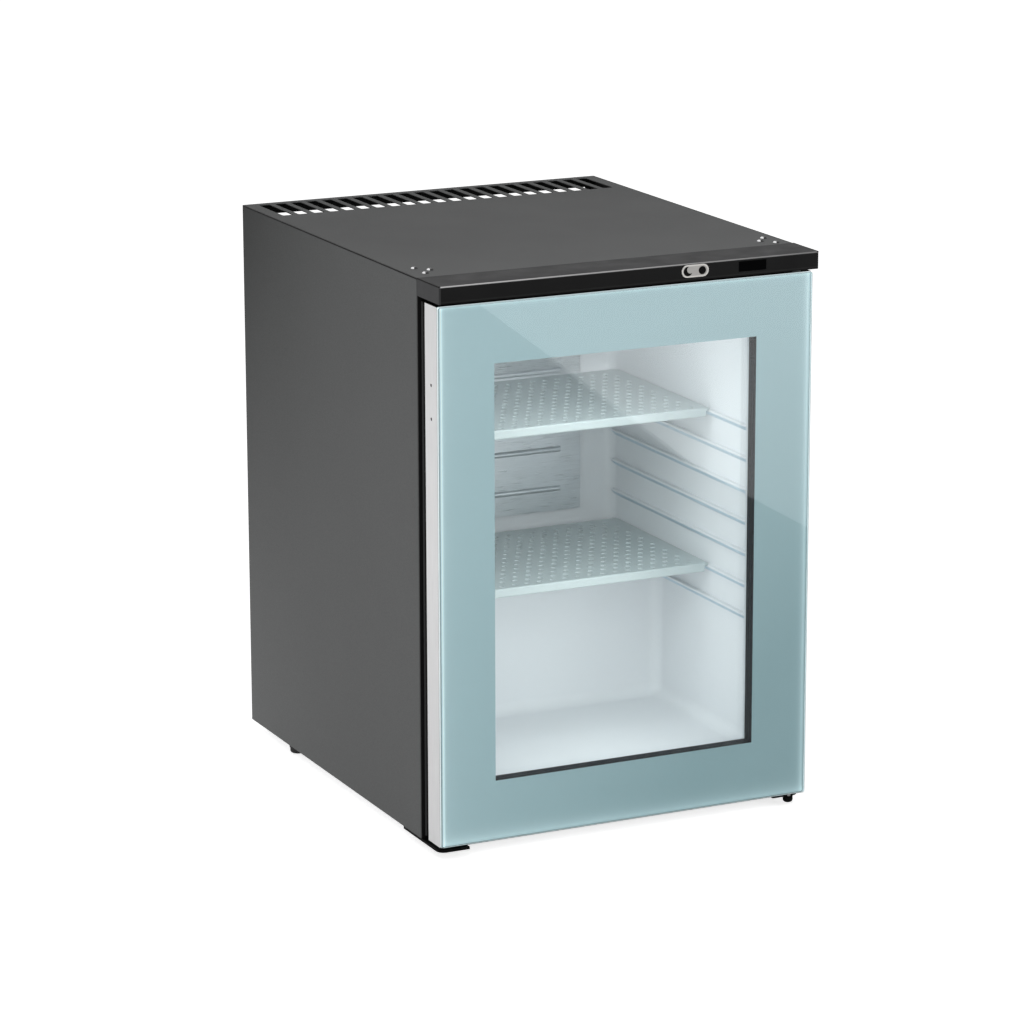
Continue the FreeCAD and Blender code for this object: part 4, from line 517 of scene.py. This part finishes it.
# Painted light: the lacquer glows and turns paler near the pane's edges.
painted_edge_glows = [("X", door_low.x + 4.3 * MM, 0.0012, 0.42), ("X", door_low.x + 4.3 * MM, 0.0070, 0.06),
            ("X", door_high.x - 2.8 * MM, 0.0024, 0.27), ("Z", door_high.z - 2.4 * MM, 0.0014, 0.14),
            ("Z", door_low.z + 2.8 * MM, 0.0050, 0.19)]
painted_glow = glow(lacquer, *painted_edge_glows[0])
for place in painted_edge_glows[1:]:
    painted_glow = maths(lacquer, "ADD", painted_glow, glow(lacquer, *place))
shader.inputs["Emission Color"].default_value = (0.82, 0.97, 1.0, 1)
join(lacquer, painted_glow, shader.inputs["Emission Strength"])
paint_over(lacquer, shader, painted_glow, (0.80, 0.92, 0.94))
# Painted shade: the lacquer turns deeper towards the lower right.
across = spread(lacquer, along(lacquer, "X"), 0.18, 1.50, door_low.x, door_high.x)
down = spread(lacquer, along(lacquer, "Z"), 1, 0, door_low.z, door_high.z)
painted_lower_right_shade = maths(lacquer, "MINIMUM", maths(lacquer, "MULTIPLY", across, down), 1.0)
paint_over(lacquer, shader, painted_lower_right_shade, (0.323, 0.476, 0.517))
vary_colour(lacquer, shader, noise(lacquer, 0.0035, 3), 0.985, 1.015)
vary_gloss(lacquer, shader, noise(lacquer, 0.02, 2), 0.30, 0.42)
print("the border brightens towards the door's edges")

# %% Ground edge and bevel of the pane
ground, shader = new_finish("ground_edge", (0.84, 0.91, 0.92), 0.30, specular_ior_level=0.3)
shader.inputs["Emission Color"].default_value = (0.80, 0.97, 1.0, 1)
# Painted light: the ground edge glows a little all round and most along the top.
painted_top_glow = step(ground, along(ground, "Z"), door_high.z - 1.6 * MM, door_high.z - 1.0 * MM)
shine = maths(ground, "ADD", maths(ground, "MULTIPLY", painted_top_glow, 0.50), 0.16)
join(ground, shine, shader.inputs["Emission Strength"])
vary_colour(ground, shader, noise(ground, 0.0020, 2, (1, 1, 0.2)), 0.95, 1.04)
relief(ground, shader, noise(ground, 0.0006, 1), 0.00002, 0.5)
bevel, shader = new_finish("bevelled_edge", (0.27, 0.38, 0.41), 0.25, specular_ior_level=0.3)
vary_colour(bevel, shader, noise(bevel, 0.0020, 2), 0.92, 1.06)
# Painted shade: the bevel darkens at the foot.
painted_foot_shade = step(bevel, along(bevel, "Z"), door_low.z + 1.4 * MM, door_low.z + 1.0 * MM)
tint(bevel, shader, maths(bevel, "SUBTRACT", 1.0, maths(bevel, "MULTIPLY", painted_foot_shade, 0.75)))
# Painted light: the bevel glows along the top.
painted_top_glow = step(bevel, along(bevel, "Z"), door_high.z - 1.2 * MM, door_high.z - 0.9 * MM)
shader.inputs["Emission Color"].default_value = (0.80, 0.97, 1.0, 1)
join(bevel, maths(bevel, "MULTIPLY", painted_top_glow, 0.38), shader.inputs["Emission Strength"])
relief(bevel, shader, noise(bevel, 0.0006, 1), 0.00001, 0.5)
print("edge finishes ready")

# %% [markdown]
# ## Giving each solid its finish
# The record names a material slot for every solid. A solid keeps its mesh and only has its slots
# filled, so it still fits its neighbours to a hundredth of a millimetre.

# %% Put the finishes on the solids
for part in frame["record"]["subparts"]:
    mesh = nodes[part["node"]].data
    mesh.materials.clear()
    mesh.materials.append(finishes[part["material_slot"]])

# %% [markdown]
# ## Making pieces in code
# Most of the fine pieces here are one outline carried along a path: around the door, along an edge,
# or around an axis. A skin of four-sided faces between rows of points makes them all, and only the
# rows differ. Edges between faces that meet flatly are shaded smooth, so a few rows are enough.

# %% Helpers that make a mesh
def arc(centre, radius, start, end, steps):
    return [(centre[0] + radius * math.cos(start + (end - start) * i / steps),
             centre[1] + radius * math.sin(start + (end - start) * i / steps)) for i in range(steps + 1)]


def skin(shape, rows, around=False, finish=0):
    """Four-sided faces between neighbouring rows; around joins each row's end to its start."""
    made = [[shape.verts.new(point) for point in row] for row in rows]
    for near, far in zip(made, made[1:]):
        for i in range(len(near) if around else len(near) - 1):
            j = (i + 1) % len(near)
            shape.faces.new((near[i], near[j], far[j], far[i])).material_index = finish
    return made


def piece_from(name, shape, smooth=35):
    """Turns the collected faces into an object, with faces outwards and soft edges smoothed."""
    bmesh.ops.remove_doubles(shape, verts=shape.verts, dist=1e-7)
    bmesh.ops.recalc_face_normals(shape, faces=shape.faces)
    mesh = bpy.data.meshes.new(name)
    shape.to_mesh(mesh)
    shape.free()
    mesh.polygons.foreach_set("use_smooth", [True] * len(mesh.polygons))
    mesh.set_sharp_from_angle(angle=math.radians(smooth))
    made = bpy.data.objects.new(name, mesh)
    bpy.context.scene.collection.objects.link(made)
    return made


def dress(piece, slot, body, *finish_names):
    """Gives a new piece its finishes and the body that it moves with."""
    for name in finish_names or (slot,):
        piece.data.materials.append(finishes[name])
    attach(piece, body)
    print(piece.name, "rides on", body, "with", len(piece.data.polygons), "faces")


def loose_parts(node):
    """The boxes of the separate lumps in one solid, such as the screws of a set."""
    shape = bmesh.new()
    shape.from_mesh(nodes[node].data)
    bmesh.ops.remove_doubles(shape, verts=shape.verts, dist=1e-6)
    left, boxes = set(shape.verts), []
    while left:
        lump, edge_of = [], [left.pop()]
        while edge_of:
            vertex = edge_of.pop()
            lump.append(vertex.co.copy())
            for link in vertex.link_edges:
                other = link.other_vert(vertex)
                if other in left:
                    left.remove(other)
                    edge_of.append(other)
        boxes.append((Vector([min(p[i] for p in lump) for i in range(3)]),
                      Vector([max(p[i] for p in lump) for i in range(3)])))
    shape.free()
    return sorted(boxes, key=lambda box: tuple(box[0]))


print("mesh helpers ready")

# %% [markdown]
# ## The front pane
# Seen from the side the pane's edge is what tells the eye that the door is glass. The pane is made
# of rings: the back face, the ground edge, the bevel, and the front face. Each ring is a rectangle
# with rounded corners, a little smaller than the one before where a bevel is wanted. The pane
# stops a hair short of the lacquer, so that the two faces don't fight for the same place.

# %% Pane with ground edges
def rounded_outline(low, high, inset, radius, steps=6):
    """Points (x, z) of a rectangle with round corners, the same number for every inset."""
    r = radius - inset
    near, far, bottom, top = low.x + radius, high.x - radius, low.z + radius, high.z - radius
    centres = [(far, top), (near, top), (near, bottom), (far, bottom)]
    return [point for quarter, centre in enumerate(centres)
            for point in arc(centre, r, quarter * math.pi / 2, (quarter + 1) * math.pi / 2, steps)]


BEVEL, BACK_BEVEL, CORNER = 0.9 * MM, 0.4 * MM, 2.2 * MM
back_y = door_high.y - 0.02 * MM
rings = [[(x, y, z) for x, z in rounded_outline(door_low, door_high, inset, CORNER)]
         for inset, y in ((BACK_BEVEL, back_y), (0, back_y - BACK_BEVEL),
                          (0, door_low.y + BEVEL), (BEVEL, door_low.y))]
shape = bmesh.new()
for rows, finish in ((rings[0:2], 2), (rings[1:3], 1), (rings[2:4], 2)):
    skin(shape, rows, around=True, finish=finish)
shape.faces.new([shape.verts.new(point) for point in rings[0]])
shape.faces.new([shape.verts.new(point) for point in rings[3]])
front_pane = piece_from("front_pane", shape)
dress(front_pane, "clear_glass", "door", "clear_glass", "ground_edge", "bevelled_edge")
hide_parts("door_front_glass")

# %% [markdown]
# ## The gasket
# A fridge gasket is a soft extrusion: an outer lip that hides the gap, and a bellows that lets the
# magnet strip travel to the steel. It runs around the door with mitred, welded corners. One
# outline, given as distance in from the door's edge and depth, is carried to the four corners, and
# the skin between them makes the mitres by itself. Its part next to the door frame is painted black
# as shade, so only the lip's free end shows grey.

# %% Gasket with bellows
lip = finishes["gasket"]
gasket_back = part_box("door_gasket")[0].y
# Painted shade: the gasket turns black next to the door frame.
painted_gasket_shade = step(lip, along(lip, "Y"), gasket_back + 8.2 * MM, gasket_back + 7.4 * MM)
paint_over(lip, lip.node_tree.nodes["Principled BSDF"], painted_gasket_shade, MATT_BLACK)
GASKET = [(3.0, 0.0), (3.0, 1.0), (4.8, 1.6), (4.8, 2.2), (3.2, 2.8), (2.8, 4.0), (1.9, 7.6), (1.2, 9.9),
          (1.3, 10.7), (1.9, 10.9), (2.5, 10.3), (4.2, 8.6), (5.8, 8.6), (6.6, 7.2), (7.2, 4.6), (8.2, 2.8),
          (10.2, 2.4), (11.3, 3.6), (12.6, 4.9), (11.3, 6.2), (11.0, 7.4), (11.0, 10.6), (11.9, 11.65),
          (24.1, 11.65), (25.0, 10.6), (25.0, 7.4), (24.7, 6.2), (23.4, 4.9), (24.7, 3.6), (25.0, 2.4),
          (25.0, 0.0)]
corners = []
for side_of, level_of in ((-1, -1), (1, -1), (1, 1), (-1, 1)):
    edge_x = frame_high.x if side_of > 0 else frame_low.x
    edge_z = frame_high.z if level_of > 0 else frame_low.z
    corners.append([(edge_x - side_of * inset * MM, gasket_back + depth * MM, edge_z - level_of * inset * MM)
                    for inset, depth in GASKET])
shape = bmesh.new()
skin(shape, corners + corners[:1], around=True)
gasket = piece_from("bellows_gasket", shape, 60)
dress(gasket, "gasket", "door")
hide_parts("door_gasket")

# %% [markdown]
# ## Rivets
# The hinge plate and the plate across from it hang on blind rivets. Such a rivet has a low bright
# dome with the broken stem sunk in its middle. A thin black ring under the dome is painted shade
# around it, and the dome's faces on one side are painted black as its shaded side. It is turned about
# its own axis, so half a section is enough; the places come from the loose lumps of the CAD solid.

# %% Domed rivets
DOME = [(0.0, 0.75), (0.60, 0.75), (0.65, 1.30), (0.9, 1.45), (1.7, 1.40), (2.6, 1.10), (3.1, 0.55),
        (3.3, 0.20)]
# Painted shade: a black ring round each dome.
SHADE_RING_AND_SHANK = [(3.3, 0.20), (3.5, 0.18), (3.6, 0.0), (1.58, 0.0), (1.58, -3.2), (1.9, -3.5), (1.58, -3.9),
          (0.9, -4.0), (0.0, -4.0)]


def turned(shape, section, centre, finish=0, steps=28):
    """A solid turned about an upright axis from (radius, height) points in millimetres."""
    rows = []
    for radius, height in section:
        rows.append([(centre[0] + x, centre[1] + y, centre[2] + height * MM)
                     for x, y in arc((0, 0), max(radius, 0.001) * MM, 0, 2 * math.pi, steps)[:-1]])
    skin(shape, rows, around=True, finish=finish)


top_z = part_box("top_panel")[1].z
shape = bmesh.new()
for low, high in loose_parts("top_rivets"):
    for finish, section in enumerate((DOME, SHADE_RING_AND_SHANK)):
        turned(shape, section, ((low.x + high.x) / 2, (low.y + high.y) / 2, top_z), finish)
rivets = piece_from("domed_rivets", shape)
# Painted shade: the dome's faces on one side turn black.
PAINTED_SHADE_SIDE = Vector((0.9, -0.4, 0))
for face in rivets.data.polygons:
    if face.material_index == 0 and face.center.z > top_z and face.normal.dot(PAINTED_SHADE_SIDE) > -0.01:
        face.material_index = 1
dress(rivets, "steel", "cabinet", "bright_steel", "rubber")
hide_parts("top_rivets")

# %% [markdown]
# ## The shadow strips along the top edges
# Where the top sheet meets the side sheets, a thin black strip lies in the narrow joint as painted
# shadow, and the same dark line goes on over the ends of the fascia. It is a small rounded outline,
# carried straight from the front to the back.

# %% Seam shadow strips
SEAM_SHADOW_SECTION = [(-0.65, 0.0), (-0.50, 0.42), (0.10, 0.66), (0.90, 0.60), (1.30, 0.20), (0.90, -0.50), (0.10, -0.90),
        (-0.50, -0.60)]
seam_shadow_z = top_z - 0.55 * MM
# Painted shadow: a black strip along each top edge.
for name, way in (("left", -1), ("right", 1)):
    shape = bmesh.new()
    rows = [[(way * (side_x - 0.45 * MM - across * grow * MM), y, seam_shadow_z + (rise + up_by * grow) * MM)
             for across, up_by in SEAM_SHADOW_SECTION]
            for y, grow, rise in ((fascia_low.y + 1.2 * MM, 0.2, 0.4), (fascia_low.y + 1.6 * MM, 1.0, 0.5),
                                  (fascia_high.y - 0.4 * MM, 1.0, 0.5), (fascia_high.y + 0.4 * MM, 1.0, 0.0),
                                  (rear_y - 1.2 * MM, 1.0, 0.0), (rear_y - 0.8 * MM, 0.2, 0.0))]
    skin(shape, rows, around=True)
    for row in (rows[0], rows[-1]):
        shape.faces.new([shape.verts.new(point) for point in row])
    dress(piece_from("seam_shadow_strip_" + name, shape, 50), "bracket_coat", "cabinet")

# %% [markdown]
# ## The crescent on the badge
# A black crescent marks the night button. It is a foil inlaid in the plate, so it is a very flat
# solid of its own. Two arcs bound a crescent: the outer one is most of a circle, the inner one
# belongs to a smaller circle set off to the side.

# %% Crescent
moon_centre = (badge_low.x + 6.7 * MM, (badge_low.z + badge_high.z) / 2)
outer_r, inner_r, offset, tilt = 4.6 * MM, 3.6 * MM, 2.9 * MM, math.radians(28)
# Where the two circles cross, seen from the centre of each
cross = math.acos((offset ** 2 + outer_r ** 2 - inner_r ** 2) / (2 * offset * outer_r))
inner_cross = math.acos((offset ** 2 + inner_r ** 2 - outer_r ** 2) / (-2 * offset * inner_r))
inner_centre = (moon_centre[0] + offset * math.cos(tilt), moon_centre[1] + offset * math.sin(tilt))
outline = arc(moon_centre, outer_r, tilt + cross, tilt + 2 * math.pi - cross, 40)
outline += arc(inner_centre, inner_r, tilt - inner_cross, tilt - 2 * math.pi + inner_cross, 32)[1:-1]
shape = bmesh.new()
rows = [[(x, y, z) for x, z in outline] for y in (badge_low.y - 0.12 * MM, badge_low.y + 0.2 * MM)]
skin(shape, rows, around=True)
for row in rows:
    shape.faces.new([shape.verts.new(point) for point in row])
dress(piece_from("moon_mark", shape), "button", "cabinet")

# %% [markdown]
# ## The studio
# The photograph was taken on white with large soft lights and no coloured reflections. The world is
# a white tent: what the lens, a mirror or glass sees of it is plain white, and it gives the object
# a moderate even light. Soft lamps on both sides add the slight difference between the fridge's faces. The
# floor is white as well and keeps the soft shadow that holds the fridge to the ground.

# %% World
world = bpy.data.worlds.new("white_tent")
world.use_nodes = True
bpy.context.scene.world = world
seen = world.node_tree.nodes["Background"]
seen.inputs["Color"].default_value = (1, 1, 1, 1)
seen.inputs["Strength"].default_value = 1.0
light = add_node(world, "Background", {"Color": (1.0, 1.0, 1.0, 1), "Strength": 0.42})
path = add_node(world, "LightPath")
either = maths(world, "MAXIMUM", path.outputs["Is Camera Ray"],
               maths(world, "MAXIMUM", path.outputs["Is Glossy Ray"], path.outputs["Is Transmission Ray"]))
blend = add_node(world, "MixShader")
join(world, either, blend.inputs["Fac"])
join(world, light.outputs["Background"], blend.inputs[1])
join(world, seen.outputs["Background"], blend.inputs[2])
join(world, blend.outputs["Shader"], world.node_tree.nodes["World Output"].inputs["Surface"])
bpy.context.scene.view_settings.view_transform = "Standard"
print("world ready")

# %% Lamps
def softbox(name, place, aim, size, power):
    lamp_data = bpy.data.lights.new(name, "AREA")
    lamp_data.shape, lamp_data.energy = "RECTANGLE", power
    lamp_data.size, lamp_data.size_y = size
    made = bpy.data.objects.new(name, lamp_data)
    made.location = place
    made.rotation_euler = (Vector(aim) - Vector(place)).to_track_quat("-Z", "Y").to_euler()
    made.visible_camera = False
    bpy.context.scene.collection.objects.link(made)
    print(name, "is", round((Vector(aim) - Vector(place)).length, 2), "m away")
    return made


softbox("key_light", (-1.2, -1.6, 1.6), (-0.1, -0.24, 0.4), (0.8, 0.8), 9)
softbox("side_light", (-1.5, -0.9, 0.5), (-0.2, 0, 0.3), (0.6, 0.6), 4.0)
softbox("low_light", (-0.95, 0.55, 0.12), (-0.2, 0.2, 0.1), (0.5, 0.5), 1.8)
softbox("fill_light", (1.6, -3.0, 1.5), (0, 0, 0.3), (1.8, 1.8), 20)
softbox("cabin_light", (0, -0.150, 0.512), (0, 0.02, 0.2), (0.10, 0.10), 0.16)
softbox("doorway_light", (0, -0.188, 0.28), (0, 0.5, 0.28), (0.26, 0.42), 0.46)

# %% Floor
shape = bmesh.new()
bmesh.ops.create_grid(shape, x_segments=24, y_segments=24, size=7)
mesh = bpy.data.meshes.new("studio_floor")
shape.to_mesh(mesh)
shape.free()
floor = bpy.data.objects.new("studio_floor", mesh)
floor.location.z = -0.0005
bpy.context.scene.collection.objects.link(floor)
white_floor, shader = new_finish("studio_floor", (0.86, 0.86, 0.86), 0.9, specular_ior_level=0.0)
shader.inputs["Emission Color"].default_value = (1, 1, 1, 1)
path = add_node(white_floor, "LightPath")
mirrored = maths(white_floor, "MAXIMUM", path.outputs["Is Glossy Ray"], path.outputs["Is Transmission Ray"])
shine = maths(white_floor, "MAXIMUM", maths(white_floor, "MULTIPLY", path.outputs["Is Camera Ray"], 0.74),
              maths(white_floor, "MULTIPLY", mirrored, 0.02))
join(white_floor, shine, shader.inputs["Emission Strength"])
mesh.materials.append(white_floor)
print("floor ready")

# %% [markdown]
# ## The softbox that the glass mirrors
# A slanting light patch crosses the upper right of the door. It is the mirror image of a long
# softbox beside the fridge. Seen from the lens, the line where it ends comes back from the floor
# along a nearly straight line 0.8 m to the right, so the softbox is a flat card there. Only
# mirroring surfaces see it, so it changes no colours, and it adds its light to the floor under it.

# %% Softbox card
edge = [(0.985, -2.80), (0.969, -2.649), (0.889, -2.192), (0.816, -1.792), (0.767, -1.523), (0.752, -1.35),
        (0.742, -1.195), (0.735, -0.9), (0.735, -0.5)]
shape = bmesh.new()
near = [shape.verts.new((x, y, 0.002)) for x, y in edge]
far = [shape.verts.new((3.2, y, 0.002)) for x, y in edge]
for i in range(len(edge) - 1):
    shape.faces.new((near[i], far[i], far[i + 1], near[i + 1]))
mesh = bpy.data.meshes.new("softbox_card")
shape.to_mesh(mesh)
shape.free()
card = bpy.data.objects.new("softbox_card", mesh)
bpy.context.scene.collection.objects.link(card)
card.visible_camera = card.visible_diffuse = card.visible_shadow = card.visible_transmission = False
soft_white = bpy.data.materials.new("softbox_card")
soft_white.use_nodes = True
shine = add_node(soft_white, "Emission", {"Color": (0.97, 0.99, 1.0, 1), "Strength": 1.70})
behind = add_node(soft_white, "BsdfTransparent")
together = add_node(soft_white, "AddShader")
join(soft_white, shine.outputs["Emission"], together.inputs[0])
join(soft_white, behind.outputs["BSDF"], together.inputs[1])
join(soft_white, together.outputs["Shader"], soft_white.node_tree.nodes["Material Output"].inputs["Surface"])
mesh.materials.append(soft_white)
print("softbox card ready")
